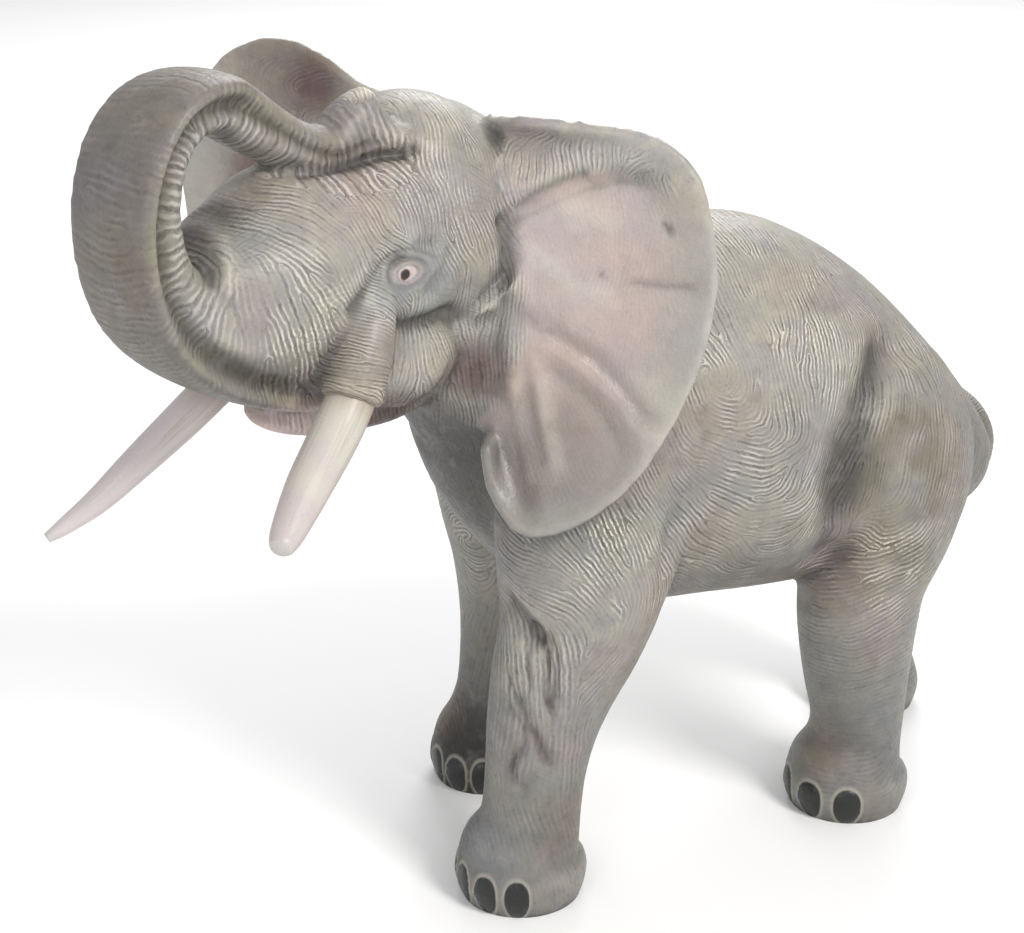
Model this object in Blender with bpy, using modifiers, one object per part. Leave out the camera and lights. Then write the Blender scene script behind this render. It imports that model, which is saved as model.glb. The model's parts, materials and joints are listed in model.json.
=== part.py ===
# A standing elephant statue, cast in one piece, with its trunk curled up and back over the brow.
# Metres, +Z up. The elephant faces -Y, its left side is +X, and the origin lies on the ground
# under the middle of the statue's bounding box.

import math

import bmesh
import bpy
import numpy as np
from mathutils import Matrix

# Driving dimensions
HEIGHT = 0.91            # soles to the top of the trunk's loop
VOXEL = HEIGHT / 165     # grid on which the casting's volumes are fused
BODY_TRIANGLES = 8600    # facets of the finished casting
TUSK_GAP = 0.0004        # joint line between a tusk and its socket

# The figure is drawn on a grid: 91 units from the soles to its top, so a unit is 1 cm at this size.
UNIT = HEIGHT / 91.0
HEAD_PIVOT = np.array([0.0, -25.0, 70.0])
HEAD_YAW = math.radians(24.0)       # the head is turned to its left
HEAD_ROLL = math.radians(2.0)       # and leans to that side


# Curves and frames

def through(rows, steps):
    """A dense list of rows on a smooth curve through the given rows."""
    rows = np.asarray(rows, float)
    ends = np.vstack([2 * rows[0] - rows[1], rows, 2 * rows[-1] - rows[-2]])
    dense = []
    for k in range(1, len(ends) - 2):
        a, b, c, d = ends[k - 1:k + 3]
        for t in np.linspace(0, 1, steps, endpoint=False):
            dense.append(0.5 * (2 * b + (c - a) * t + (2 * a - 5 * b + 4 * c - d) * t ** 2
                                + (3 * b - a - 3 * c + d) * t ** 3))
    dense.append(rows[-1])
    return np.array(dense)


def unit_vector(v):
    return v / np.maximum(np.linalg.norm(v, axis=-1, keepdims=True), 1e-9)


def to_body(points):
    """Head axes (left, forward, up from the ground) to the body's X, Y, Z."""
    points = np.atleast_2d(np.asarray(points, float))
    cy, sy, cr, sr = math.cos(HEAD_YAW), math.sin(HEAD_YAW), math.cos(HEAD_ROLL), math.sin(HEAD_ROLL)
    left = np.array([cy * cr, sy * cr, -sr])
    forward = np.array([sy, -cy, 0.0])
    up = np.array([cy * sr, sy * sr, cr])
    return HEAD_PIVOT + points[:, :1] * left + points[:, 1:2] * forward + (points[:, 2:3] - 70) * up


# Closed shapes, as vertices and faces in grid units

def skin(rings):
    """Closed surface through equal rings of points, with flat ends."""
    count, size = rings.shape[:2]
    faces = []
    for i in range(count - 1):
        for j in range(size):
            k = (j + 1) % size
            faces.append((i * size + j, i * size + k, (i + 1) * size + k, (i + 1) * size + j))
    faces.append(tuple(range(size - 1, -1, -1)))
    faces.append(tuple((count - 1) * size + j for j in range(size)))
    return rings.reshape(-1, 3), faces


def limb(rows, side, steps=6, segments=28, power=2.0):
    """Round or oval limb. A row is x, y, z, radius to the side, radius across it."""
    dense = through(rows, steps)
    centre = dense[:, :3]
    tangent = unit_vector(np.gradient(centre, axis=0))
    side = np.asarray(side, float)
    across = unit_vector(np.cross(tangent, side))
    sideways = unit_vector(np.cross(across, tangent))
    angle = np.linspace(0, 2 * math.pi, segments, endpoint=False)
    c, s = np.cos(angle), np.sin(angle)
    c = np.sign(c) * np.abs(c) ** (2 / power)
    s = np.sign(s) * np.abs(s) ** (2 / power)
    rings = (centre[:, None]
             + sideways[:, None] * (dense[:, 3:4] * c)[:, :, None]
             + across[:, None] * (dense[:, 4:5] * s)[:, :, None])
    return skin(rings)


def barrel(rows, steps=6, segments=48):
    """The torso. A row is y, top z, bottom z, half width, height of the widest line as a share."""
    dense = through(rows, steps)
    angle = np.linspace(0, 2 * math.pi, segments, endpoint=False)
    c, s = np.cos(angle), np.sin(angle)
    rings = []
    for y, top, bottom, half, share in dense:
        middle = bottom + (top - bottom) * share
        reach = np.where(s > 0, top - middle, middle - bottom)
        bulge = np.where(s > 0, 1.9, 2.25)
        x = half * np.sign(c) * np.abs(c) ** (2 / bulge)
        z = middle + reach * np.sign(s) * np.abs(s) ** (2 / bulge)
        rings.append(np.column_stack([x, np.full(segments, y), z]))
    return skin(np.array(rings))


def ball(centre, radii, segments=24):
    """Ellipsoid in grid units."""
    polar = np.linspace(0.12, math.pi - 0.12, segments // 2)
    angle = np.linspace(0, 2 * math.pi, segments, endpoint=False)
    rings = np.stack([np.stack([np.outer(np.sin(polar), np.cos(angle)),
                                np.outer(np.sin(polar), np.sin(angle)),
                                np.outer(-np.cos(polar), np.ones(segments))], axis=-1)])[0]
    return skin(rings * np.asarray(radii, float) + np.asarray(centre, float))


def in_head(shape):
    points, faces = shape
    return to_body(points), faces


def slab(middle, half):
    """Closed sheet from a grid of points and of half thicknesses, front and back."""
    rows, columns = middle.shape[:2]
    du = np.gradient(middle, axis=0)
    dv = np.gradient(middle, axis=1)
    normal = unit_vector(np.cross(du, dv))
    front = middle + normal * half[:, :, None]
    back = middle - normal * half[:, :, None]
    count = rows * columns
    points = np.vstack([front.reshape(-1, 3), back.reshape(-1, 3)])
    faces = []
    at = lambda i, j: i * columns + j
    for i in range(rows - 1):
        for j in range(columns - 1):
            quad = (at(i, j), at(i + 1, j), at(i + 1, j + 1), at(i, j + 1))
            faces.append(quad)
            faces.append(tuple(count + k for k in reversed(quad)))
    rim = ([at(i, 0) for i in range(rows)] + [at(rows - 1, j) for j in range(1, columns)]
           + [at(i, columns - 1) for i in range(rows - 2, -1, -1)]
           + [at(0, j) for j in range(columns - 2, 0, -1)])
    for a, b in zip(rim, rim[1:] + rim[:1]):
        faces.append((a, count + a, count + b, b))
    return points, faces


# The elephant's volumes

TORSO = [  # y, top, bottom, half width, widest share
    (-29, 60, 47, 6, 0.5), (-25.5, 64.5, 40, 11, 0.5), (-19, 67.5, 32.5, 15, 0.48), (-10, 69.3, 29, 18.2, 0.46),
    (0, 70, 28.3, 19.6, 0.44), (8, 69.8, 27.8, 19.8, 0.44), (15, 67.2, 27.8, 19.3, 0.45), (22, 62.8, 28.8, 18, 0.47),
    (28, 57.3, 30.6, 16, 0.5), (34, 51, 31.8, 12.6, 0.52), (38.4, 45.6, 33.2, 9, 0.55), (41.4, 41.8, 35.8, 4.5, 0.55)]

LEGS = {  # x, y, z, radius to the side, radius fore and aft
    "front_left": [(8, -11, 61, 5, 8), (10.2, -13.6, 53, 7.5, 10.6), (11.8, -15.4, 44, 8.2, 11), (12.3, -16.8, 36, 8.2, 9.5), (12.3, -18, 30.5, 7.4, 8.1),
                   (12, -19.9, 25, 6.6, 7.0), (11.8, -21.2, 20, 5.9, 6.1), (11.6, -21.9, 15, 5.5, 5.5), (11.4, -22.3, 10, 5.3, 5.4),
                   (11.3, -22.7, 7.4, 5.6, 5.8)],
    "front_right": [(-8, -9, 61, 5, 8), (-10.2, -11.4, 53, 7.5, 10.6), (-12, -12.3, 44, 8, 10.8), (-12.8, -12, 36, 8, 9.6), (-13.2, -11.8, 29, 7.3, 8),
                    (-13.4, -12.2, 22, 6.3, 6.7), (-13.5, -13, 16, 5.6, 5.9), (-13.6, -13.9, 11, 5.3, 5.5), (-13.9, -14.8, 7.6, 5.5, 5.7)],
    "hind_left": [(6, 13, 55, 5, 6), (9, 18.6, 49.5, 8, 10.2), (10.8, 21.6, 43, 8.6, 10.8), (11.6, 20.8, 36, 8.2, 9.2), (12, 19, 29.5, 7.4, 7.3),
                  (12, 18.7, 24.5, 6.6, 7.0), (11.7, 19.2, 18, 5.8, 6.3), (11.1, 20.1, 12.5, 5.4, 5.5), (10.4, 20.5, 9.2, 5.3, 5.5), (10.2, 20.3, 7.2, 5.6, 5.9)],
    "hind_right": [(-6, 13, 55, 5, 6), (-9, 19.2, 49.5, 8, 10.2), (-10.8, 24.3, 43, 8.6, 11.2), (-11.6, 27, 36, 8.2, 9.8), (-11.9, 29.8, 29, 7.3, 8.2),
                   (-11.7, 32.4, 22, 6.3, 6.9), (-11.4, 34.8, 16, 5.7, 6), (-11.1, 36.5, 11, 5.4, 5.5), (-11, 37.1, 7.6, 5.6, 5.8)],
}
FEET = {"front_left": (11.1, -23.4, 7.0), "front_right": (-14.4, -15.4, 6.7),
        "hind_left": (10.0, 19.9, 7.1), "hind_right": (-11, 37.2, 6.9)}

# Trunk: the outer face's middle line (forward, up), depth inwards, half width of the flat
# outer band, half width of the round inner side, and towards the tip its lean to the left and
# how round the section has become
TRUNK = [(20, 59.4, 17, 5.4, 9.0), (25, 59.4, 16.5, 5.4, 8.8), (30, 60.6, 15.5, 5.3, 8.2), (35.6, 63.0, 13, 5.2, 7.2),
         (40.2, 66.3, 10.4, 5.2, 6.0), (43.2, 70, 8.4, 5.2, 5.0), (44.8, 74.2, 7.2, 5.2, 4.4), (45.3, 78.6, 6.6, 5.2, 4.1),
         (44.9, 82.6, 6.3, 5.2, 4.0), (43.3, 86.6, 6.0, 5.2, 3.9), (40.6, 89.6, 5.6, 5.0, 3.8), (37, 91.1, 5.2, 4.7, 3.7),
         (33, 91.1, 5.2, 4.1, 3.6, 0, 0.1), (29.3, 89.4, 5.4, 3.6, 3.5, 0, 0.5), (26, 87.5, 5.3, 3.3, 3.4, 0.1, 0.9),
         (23, 85.8, 4.9, 3, 3.3, 0.2, 1), (20.5, 85.0, 4.7, 3, 3.2, 0.5, 1), (18.2, 85.6, 5.1, 3, 3.1, 0.9, 1),
         (16.2, 86.0, 4.8, 3, 2.8, 1.3, 1), (14.9, 85.4, 3.4, 2.4, 2.2, 1.7, 1)]
TRUNK_FINGERS = [  # lateral, forward, up, radius to the side, radius across
    [(0.8, 19.2, 83.4, 2.5, 2.3), (1.0, 17.2, 84.9, 2.6, 2.3), (1.3, 15.8, 86.6, 2.1, 1.5), (1.5, 15.3, 87.8, 1.0, 0.7)],
    [(1, 19, 83.2, 2.6, 2.0), (1.8, 16.2, 83.6, 2.8, 2.1), (3.1, 13.6, 83.2, 2.4, 1.7), (4.6, 11.4, 82.6, 1.7, 1.2),
     (5.4, 10.1, 82.2, 1.3, 1.0), (5.7, 9.5, 82.0, 0.9, 0.7)]]

TAIL = [(0, 37, 45, 2.4, 2.2), (0, 41.2, 42, 2.5, 2.2), (0, 43.3, 38.5, 2.4, 2.2), (-0.2, 42.8, 34.8, 2.2, 2.2),
        (-1.2, 40.8, 31.4, 2, 2.1), (-2.8, 38.4, 28.4, 1.9, 2), (-4.6, 36.2, 25.2, 1.9, 1.9), (-5.7, 34.8, 21.8, 2.2, 2.1),
        (-6, 34.2, 18.4, 2.2, 2), (-6, 34, 15.2, 1.1, 1.1)]


def torso():
    return [barrel(TORSO)]


def legs():
    shapes = []
    for name, rows in LEGS.items():
        x, y, r = FEET[name]
        foot = [(x, y, 5.0, r * 0.93, r * 0.96), (x, y, 3.2, r, r * 1.03), (x, y, 1.5, r * 0.98, r),
                (x, y, 0, r * 0.91, r * 0.93), (x, y, -2.5, r * 0.8, r * 0.82)]
        shapes.append(limb(rows + foot, side=(1, 0, 0), steps=5))
    return shapes


def tail():
    return [limb(TAIL, side=(1, 0, 0), segments=16), ball((-0.6, 37.6, 32.6), (4.6, 4.4, 5))]


def neck():
    return [limb([(0, -2, 48, 16.5, 17), (0, -9, 51.5, 16.2, 16.5), (0.4, -15.5, 56, 15, 15.5), (1.5, -22, 63, 13.2, 14),
                  (3, -28, 70, 11.6, 12.4)], side=(1, 0, 0))]


def head():
    shapes = [ball((0, 7, 73), (11.3, 13.5, 12.8)),
              ball((0, 8.5, 80), (8.2, 8.2, 6.6)),
              limb([(0, 6, 73.5, 9, 9), (0, 12, 72.4, 10.6, 11), (0, 18, 71.2, 10.4, 11), (0, 24, 71, 9.9, 11.2), (0, 29.5, 71.2, 9, 10),
                    (0, 34, 72.4, 7.2, 7.4), (0, 37, 73.8, 5.2, 4.6)], side=(1, 0, 0), segments=32)]
    for hand in (1, -1):
        shapes.append(ball((hand * 5.5, 15.2, 63), (5.2, 6.4, 5.4)))
        shapes.append(ball((hand * 4.6, 9, 63.6), (4.4, 7.4, 6.6)))
        shapes.append(ball((hand * 5.4, 16.5, 72.2), (5.2, 7.0, 7.6)))
        shapes.append(limb([(hand * 7.6, 19.8, 73, 1.8, 1.8), (hand * 8.8, 22.4, 68.8, 2.5, 2.5), (hand * 9.6, 24.6, 65, 2.9, 2.9),
                            (hand * 10.1, 26.4, 61.8, 3.0, 3.0)], side=(1, 0, 0), segments=20))
    shapes.append(limb([(0, 6, 61, 6.4, 5), (0, 12, 58.6, 6, 4.4), (0, 17, 57.8, 5.4, 3.5), (0, 22, 57.8, 4.8, 2.8),
                        (0, 26, 58.2, 3.8, 2.0), (0, 28.6, 58.9, 2.0, 1.2)], side=(1, 0, 0), segments=20))
    return [in_head(s) for s in shapes]


def trunk_rings(stations, steps):
    """Section of the trunk: a flat outer band with a lip on each edge, a crease, a round inside."""
    dense = through([tuple(s) + (0,) * (7 - len(s)) for s in stations], steps)
    path = dense[:, :2]
    along = unit_vector(np.gradient(path, axis=0))
    inward = np.column_stack([-along[:, 1], along[:, 0]])
    rings = []
    for (f, u, depth, band, tube, lean, rounded), (nf, nu) in zip(dense, inward):
        crease = min(band - 0.5, tube + 0.2)
        half = through([(0, -0.5), (band * 0.6, -0.35), (band * 0.95, 0), (band + 0.15, 0.5), (band - 0.05, 1.05),
                        (crease, 1.6), (tube * 0.98, depth * 0.36), (tube, depth * 0.55), (tube * 0.84, depth * 0.8),
                        (tube * 0.46, depth * 0.96), (0, depth)], 3)
        turn = np.linspace(0, math.pi, len(half))
        oval = np.column_stack([tube * np.sin(turn), depth / 2 * (1 - np.cos(turn))])
        half = half * (1 - rounded) + oval * rounded
        section = np.vstack([half, np.column_stack([-half[-2:0:-1, 0], half[-2:0:-1, 1]])])
        rings.append(np.column_stack([section[:, 0] + lean, f + nf * section[:, 1], u + nu * section[:, 1]]))
    return np.array(rings)


def trunk():
    fingers = [in_head(limb(rows, side=(1, 0, 0), segments=20)) for rows in TRUNK_FINGERS]
    return [in_head(skin(trunk_rings(TRUNK, 5))), in_head(ball((2.0, 15.3, 84.4), (2.3, 1.7, 2.1)))] + fingers


NEAR_RIM = [  # lateral, forward, up: the left ear's free edge, from the crown round to the jaw
    (5.5, 3, 84), (11.7, 4.2, 84.9), (18.3, 1.3, 84.8), (22.4, -1.1, 84.3), (25.3, -2.7, 82.6), (27.1, -3.6, 80),
    (28.1, -4.3, 75.7), (28.6, -4.6, 70), (28.1, -4.3, 64.3), (26.9, -3.6, 59.2), (25.8, -0.9, 54.1), (23.8, 2.4, 49.4),
    (20.6, 6.5, 46), (16.8, 8.9, 45), (13.4, 9.8, 48.2), (11.5, 9.3, 53.2)]
NEAR_ROOT = [
    (4, 4, 81), (6, 4.8, 80), (8, 5.6, 78.6), (9.4, 6, 77), (10, 6.1, 75), (10.2, 6.1, 72.5), (10.3, 6.1, 70), (10.3, 6, 68),
    (10.3, 6, 66), (10.3, 6, 64), (10.3, 6, 62), (10.2, 6, 60), (10, 6.1, 58.5), (9.6, 6.3, 57), (9.2, 6.5, 56), (8.6, 6.6, 55)]
FAR_RIM = [
    (-6, 3, 84), (-10.5, 4.6, 85.4), (-15, 5.8, 88), (-19.7, 6.8, 88.9), (-24.4, 7.8, 87.4), (-27.6, 8.4, 84.6),
    (-30, 8.9, 79.5), (-31.4, 9.2, 74), (-31.2, 9.1, 68), (-29.6, 8.8, 62), (-26.5, 8, 56.5), (-22.5, 7, 52),
    (-18, 6.2, 49), (-14, 6, 48), (-11, 6.4, 50), (-9.4, 6.8, 54)]
EAR_HALF = 0.62


EAR_FOLDS = [  # lateral and up along a fold, its width, its height towards the front (or depth)
    ([(10.6, 74.6), (12, 75.6), (14, 77), (16.5, 78.5), (19.5, 79.6), (22, 79.8)], 0.9, -0.7),
    ([(13, 78.6), (16, 80.8), (20, 82), (24, 81.2), (26, 77.5)], 1.6, 0.55),
    ([(11.5, 66), (14, 63.5), (17.3, 61.2), (21.2, 58.2), (24.5, 54.8)], 1.1, 0.75),
    ([(12.5, 62.8), (16, 59.6), (19.5, 56.4), (22.5, 52)], 1.2, -0.55),
    ([(12.6, 65), (13.6, 60), (14.6, 55.5), (16.6, 50), (18, 47.5)], 0.9, 0.6),
    ([(11, 61), (12, 56), (13.4, 51.5), (15, 48)], 0.9, -0.45),
    ([(15.4, 69.7), (18.6, 67.9), (22.9, 69.3), (26.5, 70)], 1.0, -0.4),
    ([(13, 70.5), (16, 70.8), (19, 72.6), (22, 75.4)], 1.8, 0.5),
]


def along_path(points, path):
    """Distance of each point from a polyline."""
    best = np.full(len(points), 1e9)
    for a, b in zip(path[:-1], path[1:]):
        run = b - a
        t = np.clip(((points - a) @ run) / (run @ run), 0, 1)
        best = np.minimum(best, np.linalg.norm(points - a - t[:, None] * run, axis=1))
    return best


def ears():
    shapes = []
    for rim_rows, hand in ((NEAR_RIM, 1), (FAR_RIM, -1)):
        rim = through(rim_rows, 5)
        root = through(NEAR_ROOT, 5) * np.array([hand, 1, 1])
        out = np.linspace(0, 1, 15)
        middle = root[:, None] * (1 - out)[None, :, None] + rim[:, None] * out[None, :, None]
        middle[:, :, 1] -= 1.3 * np.sin(math.pi * out)[None, :]
        flat = np.abs(middle[:, :, [0, 2]]).reshape(-1, 2)
        for path, width, height in EAR_FOLDS:
            near = along_path(flat, np.array(path))
            middle[:, :, 1] += (height * np.exp(-(near / width) ** 2)).reshape(middle.shape[:2])
        half = np.full(middle.shape[:2], EAR_HALF)
        shapes.append(in_head(slab(middle, half)))
    return shapes


# From volumes to one casting

def fused(name, shapes, voxel):
    """One object whose overlapping closed shapes a voxel Remesh has fused."""
    points, faces, offset = [], [], 0
    for p, f in shapes:
        points.append(p * UNIT)
        faces += [tuple(i + offset for i in face) for face in f]
        offset += len(p)
    mesh = bpy.data.meshes.new(name + "_volumes")
    mesh.from_pydata(np.vstack(points).tolist(), [], faces)
    work = bmesh.new()
    work.from_mesh(mesh)
    bmesh.ops.recalc_face_normals(work, faces=work.faces)
    work.to_mesh(mesh)
    work.free()
    thing = bpy.data.objects.new(name + "_volumes", mesh)
    bpy.context.scene.collection.objects.link(thing)
    remesh = thing.modifiers.new("Fuse", "REMESH")
    remesh.mode = "VOXEL"
    remesh.voxel_size = voxel
    graph = bpy.context.evaluated_depsgraph_get()
    result = bpy.data.meshes.new_from_object(thing.evaluated_get(graph))
    result.name = name
    bpy.data.objects.remove(thing)
    return result


def read(mesh):
    points = np.empty(len(mesh.vertices) * 3)
    mesh.vertices.foreach_get("co", points)
    return points.reshape(-1, 3)


def relax(mesh, rounds, weight=None):
    """Evens the surface out: each point moves towards the mean of its neighbours, and half back."""
    points = read(mesh)
    edges = np.empty(len(mesh.edges) * 2, np.int64)
    mesh.edges.foreach_get("vertices", edges)
    a, b = edges.reshape(-1, 2).T
    count = len(points)
    degree = np.bincount(a, minlength=count) + np.bincount(b, minlength=count)
    weight = np.ones(count) if weight is None else weight
    for turn in range(rounds):
        for share in (0.5, -0.51):
            mean = np.stack([np.bincount(a, points[b, k], count) + np.bincount(b, points[a, k], count)
                             for k in range(3)], axis=1) / degree[:, None]
            points += (mean - points) * (share * weight)[:, None]
    mesh.vertices.foreach_set("co", points.ravel())
    mesh.update()


# Folds that show from a step away. A row is the frame, whether the other side has it too,
# half width, depth, and the points of its line.
FOLDS = [
    ("head", True, 0.9, 0.75, [(9.5, 20.5, 67.6), (9.1, 18.5, 67.3), (9.1, 15.5, 67.2), (9.4, 13.3, 67.3), (9.6, 12.3, 67),
                               (10.4, 11.2, 66.3), (10.8, 9.6, 65.8), (11.4, 8.6, 66.3)]),
    ("head", True, 0.7, 0.5, [(9.6, 25.7, 70.3), (9.8, 23.8, 72.1), (9.7, 22.1, 73.7), (9.5, 19.8, 74), (9.8, 17.2, 74.5), (9.9, 15.4, 74.8)]),
    ("head", True, 0.6, 0.35, [(10.4, 13.4, 73.6), (10.4, 13.7, 72.3), (10.5, 15.4, 71.1), (10.4, 16.3, 70.1)]),
    ("head", True, 1.2, 0.5, [(10.6, 9.4, 64), (10.2, 9, 61.2), (9.6, 8.4, 58)]),
    ("head", True, 1.5, 0.5, [(10.1, 19.3, 72.6), (10.1, 18.2, 72.3)]),
    ("head", True, 0.75, -0.6, [(10.1, 19.3, 72.6), (10.1, 19.0, 72.6)]),
    ("head", True, 0.9, 0.7, [(8.6, 21, 70), (8.9, 22.6, 67), (8.8, 23.6, 63.6), (8.6, 24.6, 61)]),
    ("body", True, 2.5, 1.5, [(14.8, 19.3, 57.2), (16.8, 16, 55.4), (18.6, 12.7, 52.5), (19.5, 10.5, 49.2), (19.7, 9.9, 44.9),
                              (19, 10.2, 40.1), (16.5, 10.9, 35)]),
    ("body", False, 1.5, 1.1, [(12.8, -26.2, 34.9), (14.6, -25.7, 33.7), (16.2, -24.8, 32.3)]),
    ("body", True, 1.2, 0.4, [(10.1, 12, 27), (16.1, 13.2, 27.9), (18.7, 16.5, 30.7), (19.7, 19.5, 34.1)]),
    ("body", True, 1.6, 0.8, [(19.4, -6, 52), (19.8, -9, 45), (18.5, -11, 39), (16.5, -11.5, 34)]),
    ("body", True, 0.8, 0.45, [(16.2, -24.6, 33), (17.2, -23.8, 30), (17.8, -23.1, 25.6)]),
    ("body", True, 0.8, 0.45, [(15.4, -25.7, 25.1), (16.6, -24.6, 20.8), (17.2, -23.1, 18.4)]),
]
TUSKS = {  # head axes (lateral, forward, up, radius), from the root's end to the tip
    "left_tusk": [(9.0, 22.6, 65.6, 2.05), (9.5, 24.6, 63.5, 2.2), (10.0, 26.6, 61.6, 2.3), (10.8, 29.3, 59.4, 2.3), (12.3, 34.0, 56.4, 2.1),
                  (14.0, 38.2, 53.9, 1.6), (14.8, 39.8, 53.2, 1.2), (15.0, 40.2, 53.0, 0.9)],
    "right_tusk": [(-8.6, 21.4, 61.8, 1.9), (-9.0, 23.5, 59.8, 2.0), (-9.6, 26.2, 57.7, 2.0), (-10.7, 29.4, 55.0, 1.9), (-12.2, 33.3, 51.7, 1.65),
                   (-13.6, 37.0, 48.6, 1.3), (-14.8, 40.3, 46.5, 0.85), (-15.4, 42.0, 45.6, 0.5)],
}


def carve(mesh):
    """Presses the folds into the casting along the surface's own normals."""
    points = read(mesh) / UNIT
    normal = np.empty(len(points) * 3)
    mesh.vertices.foreach_get("normal", normal)
    normal = normal.reshape(-1, 3)
    depth = np.zeros(len(points))
    for frame, both, width, deep, path in FOLDS:
        for hand in ((1, -1) if both else (1,)):
            line = np.array(path, float) * np.array([hand, 1, 1])
            line = to_body(line) if frame == "head" else line
            near = along_path(points, line)
            depth += deep * np.exp(-(near / width) ** 2)
    points -= normal * depth[:, None]
    mesh.vertices.foreach_set("co", (points * UNIT).ravel())
    mesh.update()


def cut_soles(mesh):
    """Flat soles on the ground plane."""
    work = bmesh.new()
    work.from_mesh(mesh)
    everything = work.verts[:] + work.edges[:] + work.faces[:]
    bmesh.ops.bisect_plane(work, geom=everything, dist=1e-6, plane_co=(0, 0, 0), plane_no=(0, 0, -1), clear_outer=True)
    rim = [e for e in work.edges if e.is_boundary]
    bmesh.ops.holes_fill(work, edges=rim, sides=0)
    for vert in work.verts:
        if abs(vert.co.z) < 1e-5:
            vert.co.z = 0.0
    bmesh.ops.triangulate(work, faces=work.faces[:])
    bmesh.ops.recalc_face_normals(work, faces=work.faces[:])
    work.to_mesh(mesh)
    work.free()


def through_modifier(mesh, kind, **settings):
    """The mesh after one modifier, leaving no helper behind."""
    thing = bpy.data.objects.new("helper", mesh)
    bpy.context.scene.collection.objects.link(thing)
    modifier = thing.modifiers.new("Step", kind)
    for key, value in settings.items():
        setattr(modifier, key, value)
    graph = bpy.context.evaluated_depsgraph_get()
    result = bpy.data.meshes.new_from_object(thing.evaluated_get(graph))
    bpy.data.objects.remove(thing)
    return result


def tusk_mesh(name, grow):
    """One tusk as a closed round loft, or with grow the hollow that it sits in."""
    rows = np.array(TUSKS[name], float)
    if grow:
        back = unit_vector(rows[0, :3] - rows[1, :3])
        rows[0, :3] += back * grow
        rows[:, 3] += grow
    points, faces = limb([tuple(r) + (r[3],) for r in rows], side=(1, 0, 0), steps=2, segments=14)
    mesh = bpy.data.meshes.new(name)
    mesh.from_pydata((to_body(points) * UNIT).tolist(), [], faces)
    work = bmesh.new()
    work.from_mesh(mesh)
    bmesh.ops.recalc_face_normals(work, faces=work.faces[:])
    bmesh.ops.triangulate(work, faces=work.faces[:])
    work.to_mesh(mesh)
    work.free()
    return mesh


def material(name, colour, roughness):
    made = bpy.data.materials.new(name)
    made.use_nodes = True
    shader = made.node_tree.nodes["Principled BSDF"]
    shader.inputs["Base Color"].default_value = (*colour, 1)
    shader.inputs["Roughness"].default_value = roughness
    return made


def body_mesh():
    shapes = torso() + legs() + tail() + neck() + head() + trunk() + ears()
    mesh = fused("elephant_body", shapes, VOXEL)
    relax(mesh, 12)
    carve(mesh)
    relax(mesh, 2)
    triangles = sum(len(p.vertices) - 2 for p in mesh.polygons)
    mesh = through_modifier(mesh, "DECIMATE", ratio=BODY_TRIANGLES / triangles)
    cut_soles(mesh)
    return mesh


def main():
    for thing in list(bpy.data.objects):
        bpy.data.objects.remove(thing)
    scene = bpy.context.scene.collection
    parts = bpy.data.collections.new("elephant_statue")
    cutters = bpy.data.collections.new("cutters")
    scene.children.link(parts)
    scene.children.link(cutters)
    pieces = {"elephant_body": bpy.data.objects.new("elephant_body", body_mesh())}
    for name in TUSKS:
        pieces[name] = bpy.data.objects.new(name, tusk_mesh(name, 0))
        socket = bpy.data.objects.new(name + "_socket", tusk_mesh(name, TUSK_GAP / UNIT))
        socket.hide_render = True
        socket.display_type = "WIRE"
        cutters.objects.link(socket)
        cut = pieces["elephant_body"].modifiers.new(name + "_socket", "BOOLEAN")
        cut.operation = "DIFFERENCE"
        cut.solver = "EXACT"
        cut.object = socket
    for piece in pieces.values():
        parts.objects.link(piece)
    corners = np.vstack([read(p.data) for p in pieces.values()])
    middle = (corners.min(axis=0) + corners.max(axis=0)) / 2
    for thing in list(pieces.values()) + list(cutters.objects):
        thing.data.transform(Matrix.Translation((-middle[0], -middle[1], 0)))
    pieces["elephant_body"].data.materials.append(material("cast_resin_skin", (0.42, 0.38, 0.34), 0.5))
    pieces["left_tusk"].data.materials.append(material("ivory_resin_left", (0.78, 0.72, 0.58), 0.35))
    pieces["right_tusk"].data.materials.append(material("ivory_resin_right", (0.78, 0.72, 0.58), 0.35))
    return tuple(-middle * np.array([1, 1, 0]))


SHIFT = main()
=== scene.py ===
# Looks of a standing elephant statue: painted cast resin, tusks set in the sheaths of its mouth.
# Metres, +Z up. The elephant faces -Y and its left side is +X.

import json
import math

import bmesh
import bpy
import numpy as np
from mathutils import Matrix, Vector
from mathutils.kdtree import KDTree

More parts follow.
